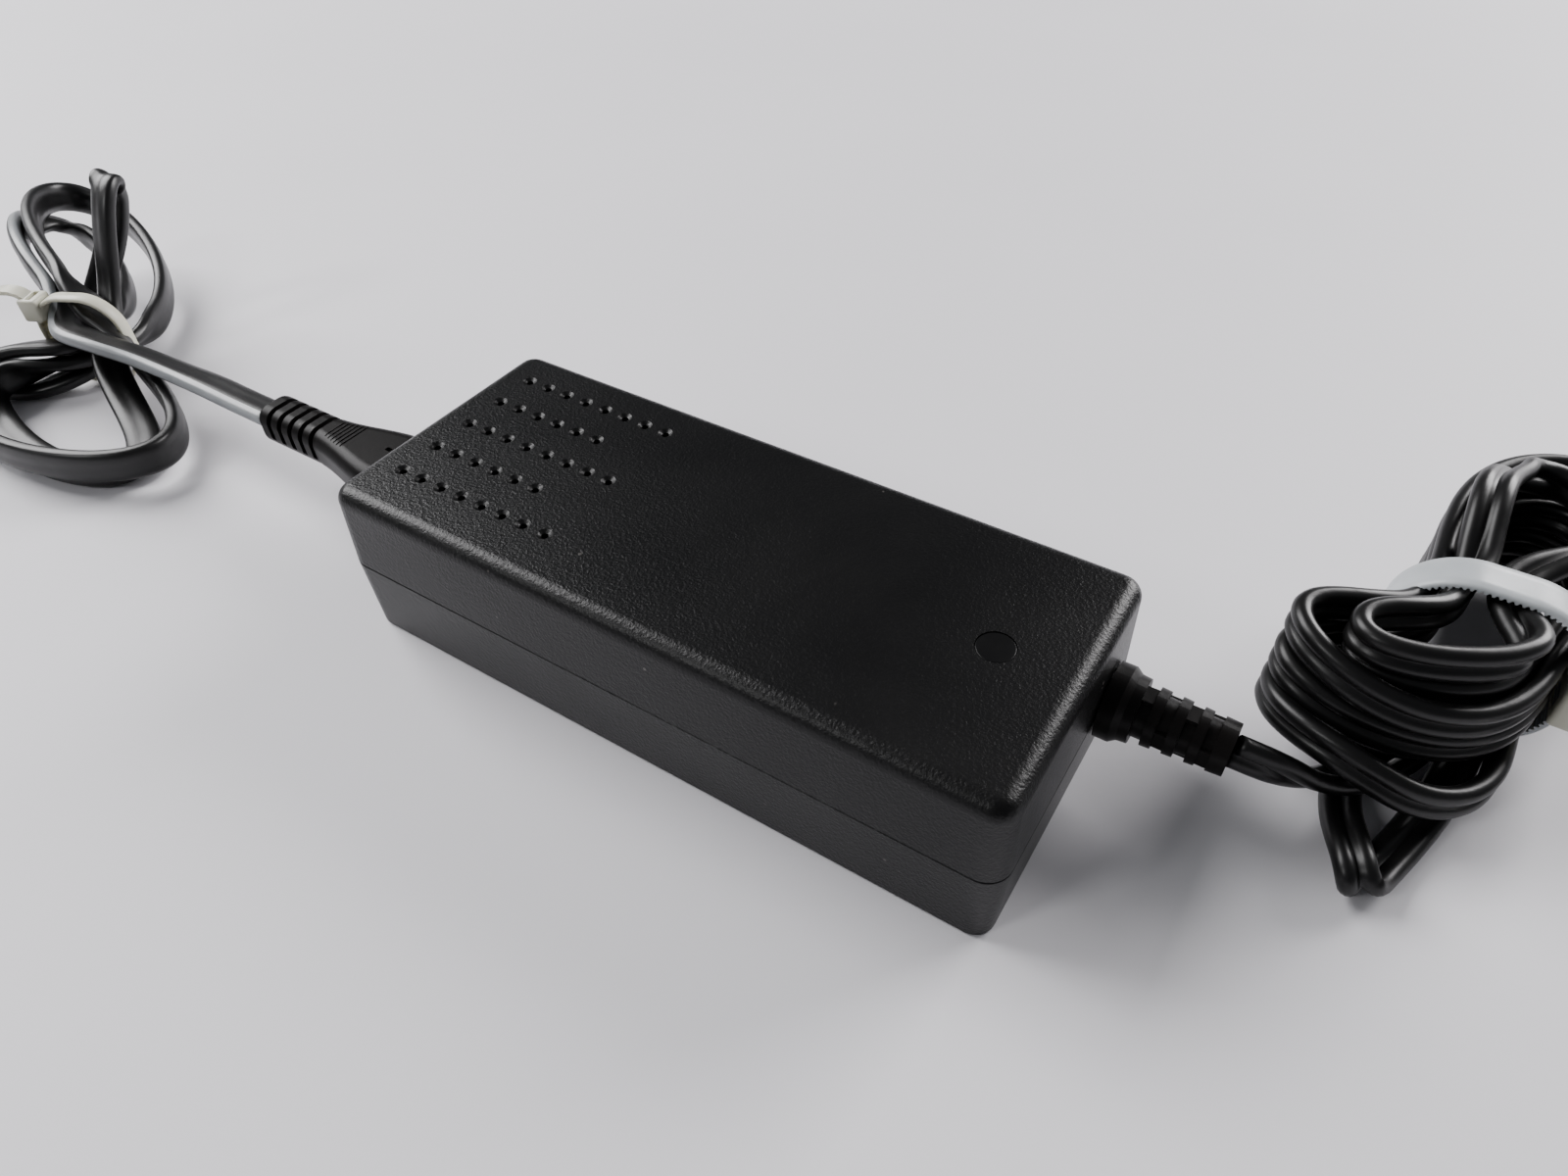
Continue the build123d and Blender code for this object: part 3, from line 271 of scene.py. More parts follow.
# ---------------------------------------------------------------- routes of the two cords
MAINS_ROUTE = [
    (-113.6, -3.3, 15.2, 0.1, -0.98, 0.16),
    (-126, -3.2, 15, 0.1, -0.98, 0.16),
    (-139, -2.3, 14.2, 0.1, -0.98, 0.16),
    (-152, -2.4, 13.7, 0.19, -0.94, 0.28),
    (-164.5, -3.6, 14.6, 0.36, -0.89, 0.27),
    (-174.1, -7.1, 17, 0.28, -0.92, 0.28),
    (-181.7, -8.2, 17.6, 0, -0.98, 0.2),
    (-187.5, -6.3, 17, 0, -0.96, 0.29),
    (-193.1, -2.5, 17, 0, -0.78, 0.62),
    (-202.5, 0, 19.6, 0, 0, 1),
    (-213.3, 2.7, 22.3, 0, 0, 1),
    (-223.9, 6.4, 23.5, 0, 0, 1),
    (-233.4, 11.2, 23, 0, 0, 1),
    (-240.5, 16.8, 21.1, -0.83, 0.21, 0.52),
    (-243.7, 22.3, 18.6, -0.96, 0.29, 0),
    (-242.1, 26.4, 15.8, -0.32, 0.81, -0.49),
    (-236.4, 28.2, 13.3, 0, 0, -1),
    (-228.4, 27.6, 11.2, 0, 0, -1),
    (-219.4, 25.1, 9.7, 0, 0, -1),
    (-210.4, 20.8, 9, 0, 0, -1),
    (-202.2, 15.1, 9.1, 0, 0, -1),
    (-196.2, 8.4, 10.1, -0.59, -0.5, -0.64),
    (-192.7, 1.5, 11, -0.9, -0.43, 0),
    (-190.4, -3.9, 11.8, -0.92, -0.39, 0),
    (-189, -7.4, 12.2, -1, 0.07, 0),
    (-190.8, -10, 12.1, -0.59, 0.77, -0.26),
    (-197.3, -14, 11.6, -0.51, 0.75, -0.42),
    (-203.2, -19.3, 10.4, -0.7, 0.59, -0.41),
    (-205, -25.1, 8.8, -0.91, 0.05, -0.41),
    (-202.4, -30.3, 7.3, -0.55, -0.36, -0.75),
    (-195.8, -34, 6.3, 0, 0, -1),
    (-186.4, -36.4, 5.9, 0, 0, -1),
    (-175.7, -37.4, 6.1, 0, 0, -1),
    (-164.6, -36.7, 6.6, 0, 0, -1),
    (-154, -34.3, 7.1, 0, 0, -1),
    (-144.8, -30.2, 7.2, 0, 0, -1),
    (-138.7, -24.9, 7.2, 0, 0, -1),
    (-137.3, -19, 6.9, 0, 0, -1),
    (-140.9, -13.3, 6.4, 0, 0, -1),
    (-148.9, -8.3, 6.1, 0, 0, -1),
    (-159.2, -4.3, 6.6, 0, 0, -1),
    (-169.8, -1.8, 9.2, 0, 0, -1),
    (-178, -0.7, 14.3, -0.35, 0.69, -0.64),
    (-184.3, -0.1, 18.8, 0.13, 0.99, 0),
    (-191.7, 1.1, 21.4, 0.01, 0.78, -0.62),
    (-201, 3.4, 23, 0, 0, -1),
    (-211.7, 6.6, 24.1, 0, 0, -1),
    (-223, 10.7, 24.8, 0, 0, -1),
    (-233.8, 16, 24.9, 0, 0, -1),
    (-242.3, 22.3, 24.2, 0, 0, -1),
    (-246.7, 28.9, 22.6, 0, 0, -1),
    (-245.6, 34.5, 20.3, 0, 0, -1),
    (-239.2, 37.6, 17.4, 0, 0, -1),
    (-229.3, 37.7, 14.3, 0, 0, -1),
    (-217.8, 34.7, 11.4, 0, 0, -1),
    (-206.5, 29.3, 9, 0, 0, -1),
    (-196.7, 22.1, 7.6, 0, 0, -1),
    (-189.5, 14.1, 7.2, 0, 0, -1),
    (-185.7, 6.2, 7.6, -0.73, -0.24, -0.64),
    (-185.5, -1.2, 8.2, -0.98, 0.19, 0),
    (-188.4, -8, 8.4, -0.86, 0.51, 0),
    (-193, -13.9, 7.9, -0.59, 0.49, -0.64),
    (-196.8, -19.2, 7.6, 0, 0, -1),
    (-197.2, -24, 6.9, 0, 0, -1),
    (-192.9, -27.9, 5, 0.18, 0.71, -0.69),
    (-184.3, -30.8, 3.2, 0.21, 0.98, 0),
    (-173.1, -32.2, 2.1, 0.04, 1, 0),
    (-161.4, -31.8, 1.9, -0.13, 0.99, 0),
    (-151.5, -29.3, 2, -0.4, 0.92, 0),
    (-146.1, -25.1, 2, -0.88, 0.48, 0),
    (-146.6, -20.2, 2.1, -0.83, -0.56, 0),
    (-152.4, -15.7, 2.4, -0.5, -0.87, 0),
    (-160.9, -12, 3.5, -0.37, -0.93, 0),
    (-169.9, -8.7, 5.6, -0.37, -0.93, 0),
    (-177.8, -5.3, 8.6, -0.51, -0.86, 0),
    (-183.8, -0.6, 12, -0.62, -0.78, 0),
    (-187.6, 4.5, 15.8, -1, 0.1, 0),
    (-189.5, 8.1, 20.8, -1, 0.1, 0),
    (-190.1, 10.8, 26.7, -1, 0.1, 0),
    (-190.3, 13.3, 32.8, -1, 0.1, 0),
    (-190.9, 16.1, 38.2, -1, 0.1, 0),
    (-192.3, 19.1, 41.5, -1, 0.1, 0),
    (-194.5, 21.4, 41.3, -1, 0.1, 0),
    (-197.1, 22.1, 37.4, -0.95, -0.32, 0),
    (-199.6, 21.2, 31.4, -0.95, -0.32, 0),
    (-202.1, 18.9, 24.8, -0.95, -0.32, 0),
    (-204.4, 15.5, 18.6, -0.95, -0.32, 0),
    (-205.5, 11.3, 13.2, -0.95, -0.32, 0),
    (-204.5, 6.7, 8.7, -0.99, -0.11, 0),
    (-200.2, 2.7, 6.1, -0.56, -0.83, 0),
    (-193.9, -0.4, 5.5, -0.53, -0.85, 0),
    (-189.5, -4, 5, -0.83, -0.56, 0),
    (-188.7, -8.1, 4.5, -0.96, 0.27, 0),
    (-192, -12.8, 2.9, -0.72, 0.69, 0),
    (-197.1, -16.9, 1.8, -0.59, 0.8, 0),
    (-202.5, -20.5, 2.6, -0.51, 0.86, 0),
    (-208.5, -23.6, 2.6, -0.36, 0.93, 0),
    (-214.8, -25.2, 4.4, -0.12, 0.99, 0),
    (-221.6, -25.2, 7.5, 0, 1, 0),
]
DC_ROUTE = [
    (84.2, 13.8, 15.9, 0, 0, 1),
    (88, 14.9, 14.7, 0, 0, 1),
    (92.2, 17.4, 11.9, 0, -0.29, 0.96),
    (96.2, 21, 8.2, 0.5, -0.5, 0.7),
    (100.9, 25.6, 7.1, 0.76, -0.65, 0),
    (105.1, 31.4, 5.7, 0.85, -0.52, 0),
    (108.6, 38.2, 4.8, 0.92, -0.4, 0),
    (111.4, 45.9, 4.8, 0.72, -0.25, 0.64),
    (113.7, 54, 5.3, 0.16, -0.06, 0.98),
    (116.6, 62.3, 5, 0, 0, 1),
    (121, 70.7, 4.5, 0, 0, 1),
    (125.5, 79.3, 4.5, 0, 0, 1),
    (126.9, 87.4, 4.7, 0, 0, 1),
    (124.2, 93.5, 4.7, 0, 0, 1),
    (118.6, 96.1, 4.8, 0, 0, 1),
    (112.5, 94.1, 4.7, 0, 0, 1),
    (108.2, 88.3, 4.8, 0, 0, 1),
    (106.1, 79.7, 4.8, 0, 0, 1),
    (105.3, 70.3, 5.1, 0, 0, 1),
    (104.9, 61.3, 5.6, 0, 0, 1),
    (104.2, 52.8, 5.4, -0.86, 0.07, 0.5),
    (102.7, 44.4, 4.1, -0.99, 0.16, 0),
    (101.4, 36.1, 2.8, -0.99, 0.1, 0),
    (101, 28.2, 2.6, -1, -0.04, 0),
    (101.9, 21.3, 4, -0.84, -0.54, 0),
    (103.4, 15.7, 5.9, -0.84, -0.54, 0),
    (105, 11.7, 6.7, -0.84, -0.54, 0),
    (106.2, 9.6, 5.9, -0.84, -0.54, 0),
    (107.2, 9.5, 4, -0.84, -0.54, 0),
    (108.3, 12.1, 2.6, -0.84, -0.54, 0),
    (109.8, 16.9, 2, -0.84, -0.54, 0),
    (111.8, 23, 2.1, -0.84, -0.54, 0),
    (113.8, 29.9, 2.4, -0.97, 0.24, 0),
    (115.3, 37.3, 3, -0.99, 0.17, 0),
    (116.4, 45.4, 4.3, -0.64, 0.21, -0.74),
    (117.6, 53.8, 6.5, 0, 0, -1),
    (119.8, 62.1, 9, 0, 0, -1),
    (123.4, 70.5, 10.6, 0, 0, -1),
    (126.5, 79.1, 11.2, 0, 0, -1),
    (127, 87.3, 11.4, 0, 0, -1),
    (124.1, 93.2, 11.4, 0, 0, -1),
    (118.8, 95.8, 11.3, 0, 0, -1),
    (112.9, 93.7, 11.2, 0, 0, -1),
    (108.7, 87.8, 11.2, 0, 0, -1),
    (106.5, 79.4, 11.4, 0, 0, -1),
    (105.7, 70, 11.7, 0, 0, -1),
    (105.1, 61.2, 11.9, 0, 0, -1),
    (103.3, 53.3, 12.2, 0, 0, -1),
    (99.3, 46.5, 12.5, 0, 0, -1),
    (94.9, 40.8, 12.6, 0, 0, -1),
    (93, 36, 12.4, 0, 0, -1),
    (94.7, 33, 11.8, 0, 0, -1),
    (99.2, 32.2, 11, 0, 0, -1),
    (104.8, 33.6, 10.3, 0, 0, -1),
    (110.2, 36.8, 9.7, 0, 0, -1),
    (114.4, 41.4, 10, 0, 0, -1),
    (117.1, 47.4, 11.4, 0, 0, -1),
    (118.9, 54.4, 13.4, 0, 0, -1),
    (120.7, 62.1, 15.6, 0, 0, -1),
    (123.8, 70.2, 17.1, 0, 0, -1),
    (126.7, 79, 17.7, 0, 0, -1),
    (127.1, 87.2, 18, 0, 0, -1),
    (124.1, 93.3, 18, 0, 0, -1),
    (118.8, 95.8, 17.9, 0, 0, -1),
    (112.9, 93.6, 17.8, 0, 0, -1),
    (108.7, 87.8, 17.8, 0, 0, -1),
    (106.4, 79.3, 18, 0, 0, -1),
    (105.6, 69.9, 18.2, 0, 0, -1),
    (105.1, 61.1, 18.4, 0, 0, -1),
    (104.2, 53.2, 18.5, 0, 0, -1),
    (101.2, 46.6, 19.4, 0, 0, -1),
    (97.1, 41.7, 20.8, 0, 0, -1),
    (94.2, 37.7, 21.7, 0, 0, -1),
    (94, 34.6, 22.1, 0, 0, -1),
    (96.5, 32.9, 22.2, 0, 0, -1),
    (100.7, 32.7, 22.1, 0, 0, -1),
    (105.5, 34, 22, 0, 0, -1),
    (110, 36.5, 21.7, 0, 0, -1),
    (113.7, 39.9, 21.2, 0, 0, -1),
    (116.2, 44.3, 20.6, 0, 0, -1),
    (117.7, 49.7, 20.2, 0, 0, -1),
    (119, 55.7, 20.7, 0, 0, -1),
    (120.8, 62.4, 22.2, 0, 0, -1),
    (123.5, 69.9, 23.5, 0, 0, -1),
    (125.8, 78, 24.1, 0, 0, -1),
    (125.9, 86, 24.5, 0, 0, -1),
    (122.9, 92.1, 24.8, 0, 0, -1),
    (117.8, 94.3, 25.5, 0, 0, -1),
    (112.7, 92.3, 27, 0.25, -0.7, -0.67),
    (109, 87.5, 29.4, -0.78, -0.59, -0.2),
    (106.6, 81.8, 31.9, -0.99, -0.1, -0.1),
    (105.5, 76.2, 33.5, -0.99, -0.1, -0.1),
    (105.4, 71.2, 33.1, -0.99, -0.1, -0.1),
    (105.9, 66.5, 30.6, -0.99, -0.1, -0.1),
    (106.6, 61.4, 27.5, -0.86, 0, -0.51),
    (106.4, 56.1, 25.9, 0, 0, -1),
    (105.4, 50.9, 26, 0, 0, -1),
    (103.4, 46.8, 27.1, 0, 0, -1),
    (101, 43.8, 28.1, 0, 0, -1),
    (98.3, 41.6, 28.6, 0, 0, -1),
    (95.6, 39.7, 28.7, 0, 0, -1),
    (93.7, 37.5, 28.7, 0, 0, -1),
    (93.3, 35, 28.6, 0, 0, -1),
    (94.5, 33, 28.6, 0, 0, -1),
    (96.9, 32, 28.6, 0, 0, -1),
    (100.3, 32.2, 28.6, 0, 0, -1),
    (104.1, 33.3, 28.6, 0, 0, -1),
    (108.2, 35.3, 28.6, 0, 0, -1),
    (112, 37.8, 28.6, 0, 0, -1),
    (114.8, 40.6, 28.6, 0, 0, -1),
    (116.1, 43.8, 28.5, -0.35, -0.02, -0.94),
    (115.6, 47, 28.2, -0.7, -0.32, -0.64),
    (113.9, 50.5, 27.6, -0.86, -0.43, -0.26),
    (112.2, 54.2, 27.4, -0.98, -0.21, 0),
    (112.1, 58.5, 27.6, -0.97, 0.25, 0),
    (114.5, 63.2, 28.3, -0.8, 0.6, 0),
    (119.5, 68.3, 29.5, -0.55, 0.67, -0.5),
    (125.7, 73.7, 30.3, -0.32, 0.27, -0.91),
    (130.2, 80.5, 29.4, 0, 0, -1),
    (130.5, 88.6, 27.9, 0, 0, -1),
    (126.3, 95.8, 26.7, 0, 0, -1),
    (119, 99.1, 25.9, 0, 0, -1),
    (111.2, 96.6, 25.4, 0, 0, -1),
    (105.4, 89.5, 25.1, 0, 0, -1),
    (102.6, 79.9, 25, 0, 0, -1),
    (102, 70, 24.7, 0, 0, -1),
    (102.2, 61.3, 24.2, 0, 0, -1),
    (101.9, 54.2, 23.7, 0, 0, -1),
    (99.1, 48.9, 24, 0, 0, -1),
    (94.4, 45.4, 24.9, 0, 0, -1),
    (89.8, 42.9, 25.4, 0, 0, -1),
    (86.5, 40.3, 25.7, 0, 0, -1),
    (85.2, 37.3, 25.8, 0, 0, -1),
    (86, 34.2, 25.7, 0, 0, -1),
    (88.4, 31.5, 25.3, 0, 0, -1),
    (92, 29.6, 24.5, 0, 0, -1),
    (96.1, 28.5, 23.5, 0, 0, -1),
    (100.7, 28.4, 22.3, 0, 0, -1),
    (105.4, 29.4, 21.2, 0, 0, -1),
    (109.9, 31.7, 20.3, 0, 0, -1),
    (114.1, 35.1, 19.7, 0, 0, -1),
    (117.6, 39.6, 19.6, 0, 0, -1),
    (120, 45.4, 19.7, 0, 0, -1),
    (121.6, 52.5, 19.9, 0, 0, -1),
    (123.5, 60.8, 19.6, 0, 0, -1),
    (127.1, 69.6, 19.2, 0, 0, -1),
    (130.2, 79.1, 18.8, 0, 0, -1),
    (130.2, 88.6, 18.7, 0, 0, -1),
    (126.1, 96, 18.7, 0, 0, -1),
    (119, 99.2, 18.7, 0, 0, -1),
    (111.4, 96.6, 18.7, 0, 0, -1),
    (105.8, 89.4, 18.7, 0, 0, -1),
    (102.9, 79.8, 18.5, 0, 0, -1),
    (102.1, 70.1, 18.2, 0, 0, -1),
    (101.9, 61.6, 17.7, 0, 0, -1),
    (100.8, 54.5, 17.6, 0, 0, -1),
    (96.7, 48.8, 18.2, 0, 0, -1),
    (90.8, 43.9, 18.8, 0, 0, -1),
    (86.5, 39.4, 19.2, 0, 0, -1),
    (85, 35.1, 19.3, 0, 0, -1),
    (86.3, 31.7, 19.1, 0, 0, -1),
    (89.5, 29.6, 18.5, 0, 0, -1),
    (93.7, 28.7, 17.4, 0, 0, -1),
    (98.4, 28.8, 16.2, 0, 0, -1),
    (103.2, 29.8, 15.1, 0, 0, -1),
    (107.9, 31.6, 14.1, 0, 0, -1),
    (112.4, 34.4, 13.4, 0, 0, -1),
    (116.4, 38.2, 13.1, 0, 0, -1),
    (119.5, 43, 13.2, 0, 0, -1),
    (121.5, 48.6, 13.4, 0, 0, -1),
    (122.4, 54.7, 13.4, 0, 0, -1),
    (123.8, 61.7, 13.1, 0, 0, -1),
    (127.2, 69.8, 12.7, 0, 0, -1),
    (130.2, 79, 12.3, 0, 0, -1),
    (130.2, 88.4, 12.2, 0, 0, -1),
    (126.1, 96, 12.1, 0, 0, -1),
    (119, 99.2, 12.2, 0, 0, -1),
    (111.4, 96.6, 12.2, 0, 0, -1),
    (105.7, 89.4, 12.2, 0, 0, -1),
    (102.8, 79.8, 12, 0, 0, -1),
    (102, 70.2, 11.6, 0, 0, -1),
    (101.7, 61.8, 11.2, 0, 0, -1),
    (100.8, 55, 11.1, 0, 0, -1),
    (97.2, 49.3, 11.6, 0, 0, -1),
    (90.9, 44.2, 12.2, 0, 0, -1),
    (86.2, 38.8, 12.6, 0, 0, -1),
    (84.9, 33.4, 12.9, 0, 0, -1),
    (87.1, 28.5, 13.5, 0, 0, -1),
    (91.7, 25, 14.2, 0, 0, -1),
    (97.6, 22.9, 14.4, 0, 0, -1),
    (103.6, 22.2, 13.1, 0, 0, -1),
    (109.3, 23.3, 10.7, 0, 0, -1),
    (114.2, 26.5, 9, 0, 0, -1),
    (118, 31.5, 7.7, 0, 0, -1),
    (120.2, 37.8, 6.9, 0, 0, -1),
    (120.7, 44.9, 6.8, 0, 0, -1),
    (120.6, 52.4, 7.3, 0, 0, -1),
    (122.3, 60.4, 7.2, 0, 0, -1),
    (126.3, 69.1, 6, 0, 0, -1),
    (130, 78.6, 4.9, -0.35, 0.04, -0.94),
    (133.4, 87.9, 4.2, -0.66, 0.25, -0.71),
    (137.4, 95.1, 3.8, -0.71, 0.7, 0),
    (143, 97.6, 3.5, 0.22, 0.97, 0),
    (150, 92.2, 3.4, 0.77, 0.64, 0),
    (153.9, 84.6, 3.7, 0.96, 0.29, 0),
    (154.8, 76.5, 4.6, 1, 0.03, 0),
    (154.5, 66, 5.6, 1, -0.03, 0),
]

DC_TIE_C = (111.5, 54.9, 15.6)
DC_TIE_N = (0.0, 1.0, 0.0)
WORLD = 0.17
LIGHTS = [
    ("key", (-1.40, 0.0, 1.12), (0.0, 0.0, 0.0), (1.1, 1.1), 48.0, (1.0, 0.99, 1.0)),
    ("glint", (-0.62, -1.15, 1.0), (0.0, 0.0, 0.0), (0.3, 0.3), 5.0, (1.0, 1.0, 1.0)),
    ("back", (0.66, 1.45, 0.74), (0.0, 0.0, 0.0), (0.9, 0.9), 40.0, (1.0, 0.98, 0.99)),
]


# ---------------------------------------------------------------- cords


def centreline(name, rows):
    """the route's own smooth line: one open spline through the control points"""
    cu = bpy.data.curves.new(name, "CURVE")
    cu.dimensions = "3D"
    sp = cu.splines.new("NURBS")
    sp.points.add(len(rows) - 1)
    for pt, r in zip(sp.points, rows):
        pt.co = (r[0] * MM, r[1] * MM, r[2] * MM, 1.0)
    sp.order_u = 3
    sp.use_endpoint_u = True
    cu.resolution_u = 8
    sp.resolution_u = 8
    ob = bpy.data.objects.new(name, cu)
    bpy.context.scene.collection.objects.link(ob)
    bpy.context.view_layer.update()
    me = bpy.data.meshes.new_from_object(ob)
    pts = np.array([v.co[:] for v in me.vertices], float)
    bpy.data.meshes.remove(me)
    bpy.data.objects.remove(ob)
    return pts


def sections(pts, rows):
    """tangent, wide direction and thin direction at every point of the line"""
    n = len(rows)
    at = np.linspace(0.0, n - 2.0, len(pts))
    knots = np.array([0.0] + [i - 0.5 for i in range(1, n - 1)] + [n - 2.0])
    w = np.stack([np.interp(at, knots, [r[3 + k] for r in rows]) for k in range(3)], 1)
    t = np.gradient(pts, axis=0)
    t /= np.linalg.norm(t, axis=1, keepdims=True) + 1e-12
    for _ in range(6):
        w[1:-1] = (w[:-2] + 2 * w[1:-1] + w[2:]) / 4
    w -= (w * t).sum(1, keepdims=True) * t
    w /= np.linalg.norm(w, axis=1, keepdims=True) + 1e-12
    return t, w, np.cross(t, w)


def outward(me, angle):
    """faces all looking out, edges sharper than the angle kept crisp"""
    import bmesh
    bm = bmesh.new()
    bm.from_mesh(me)
    bmesh.ops.recalc_face_normals(bm, faces=bm.faces)
    bm.to_mesh(me)
    bm.free()
    me.polygons.foreach_set("use_smooth", [True] * len(me.polygons))
    me.set_sharp_from_angle(angle=math.radians(angle))
    me.update()


def swept(name, pts, rows, profile, mats, face_mat, over=None):
    t, w, h = sections(pts, rows)
    k = len(profile)
    verts, faces, which = [], [], []
    for p, ww, hh in zip(pts, w, h):
        for a, b in profile:
            verts.append(p + ww * a * MM + hh * b * MM)
    for i in range(len(pts) - 1):
        for j in range(k):
            j2 = (j + 1) % k
            faces.append((i * k + j, i * k + j2, (i + 1) * k + j2, (i + 1) * k + j))
            at = i * (len(rows) - 2.0) / (len(pts) - 1)
            which.append(face_mat(k - 1 - j if over and at > over[1] else j, bool(over) and at > over[0]))
    for end, base in ((0, 0), (1, (len(pts) - 1) * k)):
        ring = [base + j for j in range(k)]
        faces.append(tuple(ring[::-1]) if end == 0 else tuple(ring))
        which.append(0)
    me = bpy.data.meshes.new(name)
    me.from_pydata([tuple(v) for v in verts], [], faces)
    for mt in mats:
        me.materials.append(mt)
    me.polygons.foreach_set("material_index", which)
    me.polygons.foreach_set("use_smooth", [True] * len(faces))
    me.update()
    ob = bpy.data.objects.new(name, me)
    bpy.context.scene.collection.objects.link(ob)
    return ob


def oval(n=36, a=3.8, b=1.8, dip=0.17):
    """flat two-core jacket with round edges and a shallow groove along the middle of each face"""
    out = []
    for i in range(n):
        q = 2 * math.pi * (i + 0.5) / n
        c, s = math.cos(q), math.sin(q)
        x = a * math.copysign(abs(c) ** 0.80, c)
        y = b * math.copysign(abs(s) ** 0.62, s)
        y *= 1.0 - dip * math.exp(-((x / 0.55) ** 2))
        out.append((x, y))
    return out


def twin(r=1.6, gap=1.6, web=0.62, n=13):
    """two round cores joined by a narrow web"""
    a0 = math.asin(web / r)
    out = []
    for k in range(n):
        q = -(math.pi - a0) + (2 * math.pi - 2 * a0) * k / (n - 1)
        out.append((gap + r * math.cos(q), r * math.sin(q)))
    for k in range(n):
        q = a0 + (2 * math.pi - 2 * a0) * k / (n - 1)
        out.append((-gap + r * math.cos(q), r * math.sin(q)))
    return out


def length_of(pts):
    return float(np.linalg.norm(np.diff(pts, axis=0), axis=1).sum())


mains_line = centreline("mains_line", MAINS_ROUTE)
dc_line = centreline("dc_line", DC_ROUTE)
flat = oval()
mid = [(flat[j][0] + flat[j - len(flat) + 1][0], flat[j][1] + flat[j - len(flat) + 1][1]) for j in range(len(flat))]


def striped(j, thin):
    """1 on the striped edge: broad on the first run, a thin line where the cord is hardly seen"""
    return 1 if mid[j][0] > (6.95 if thin else 5.0) and (-0.2 if thin else -1.6) < mid[j][1] else 0


mains_cord = swept("mains_cord_flex", mains_line, MAINS_ROUTE, flat, [mains_jacket.m, stripe.m],
                   striped, over=(23.5, 58.5))
dc_cord = swept("dc_cord_flex", dc_line, DC_ROUTE, twin(), [MATS["cord_black"].m], lambda j, thin: 0)
print("mains", len(mains_line), round(length_of(mains_line), 4), "dc", len(dc_line), round(length_of(dc_line), 4))
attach(mains_cord, "mains_lead")
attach(dc_cord, "adapter")
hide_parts("mains_cord", "mains_cord_bundle", "mains_cord_tail")
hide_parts("dc_cord", "dc_cord_bundle", "dc_cord_tail")

# ---------------------------------------------------------------- cable ties


def ring_path(hu, hw, r, n):
    """rounded box, walked round once: points and outward normals in the ring's plane"""
    su, sw = hu - r, hw - r
    segs, out = [], []
    for cx, cy, q0 in ((su, sw, 0.0), (-su, sw, math.pi / 2), (-su, -sw, math.pi), (su, -sw, 1.5 * math.pi)):
        segs.append((cx, cy, q0))
    total = 2 * math.pi * r + 4 * (su + sw)
    for i in range(n):
        d = total * i / n
        for k, (cx, cy, q0) in enumerate(segs):
            arc = r * math.pi / 2
            if d < arc:
                q = q0 + d / r
                out.append(((cx + r * math.cos(q), cy + r * math.sin(q)), (math.cos(q), math.sin(q))))
                break
            d -= arc
            run = 2 * su if k % 2 == 0 else 2 * sw
            if d < run:
                q = q0 + math.pi / 2
                nx, ny = math.cos(q), math.sin(q)
                px, py = cx + r * nx, cy + r * ny
                tx, ty = -ny, nx
                out.append(((px + tx * d, py + ty * d), (nx, ny)))
                break
            d -= run
    return out


def band(name, centre, normal, up, hu, hw, r, width, thick, teeth, tooth, rail, mat, n=None, wobble=0.0):
    """moulded strap round a bundle: smooth outside, rounded edges, a rack of teeth sunk between two rails inside"""
    nrm, upv = Vector(normal).normalized(), Vector(up).normalized()
    side = upv.cross(nrm).normalized()
    n = n or teeth * 4
    path = ring_path(hu, hw, r, n)
    half = width / 2
    e = min(0.35, thick * 0.3)
    verts, faces = [], []
    for i, ((px, py), (nx, ny)) in enumerate(path):
        deep = thick - tooth * (1 if (i % 4) in (0, 1) else 0.15)
        lift = wobble * math.sin(2 * math.pi * i / n * 3.0)
        if rail:
            prof = [(-half, e), (-half + e, 0.0), (half - e, 0.0), (half, e), (half, thick - e), (half - e, thick),
                    (half - rail, thick), (half - rail - 0.12, deep), (-half + rail + 0.12, deep), (-half + rail, thick),
                    (-half + e, thick), (-half, thick - e)]
        else:
            prof = [(-half, e), (-half + e, 0.0), (-half / 2, 0.0), (0.0, 0.0), (half / 2, 0.0), (half - e, 0.0),
                    (half, e), (half, deep), (half / 2, deep), (0.0, deep), (-half / 2, deep), (-half, deep)]
        for a, b in prof:
            o = b
            p = Vector(centre) + side * (px + nx * (lift - o) * 1.0) + upv * (py + ny * (lift - o)) + nrm * a
            verts.append(tuple(c * MM for c in p))
    k = 12
    for i in range(n):
        i2 = (i + 1) % n
        for j in range(k):
            j2 = (j + 1) % k
            faces.append((i * k + j, i2 * k + j, i2 * k + j2, i * k + j2))
    me = bpy.data.meshes.new(name)
    me.from_pydata(verts, [], faces)
    me.materials.append(mat)
    me.polygons.foreach_set("use_smooth", [True] * len(faces))
    me.update()
    ob = bpy.data.objects.new(name, me)
    bpy.context.scene.collection.objects.link(ob)
    outward(me, 50)
    return ob


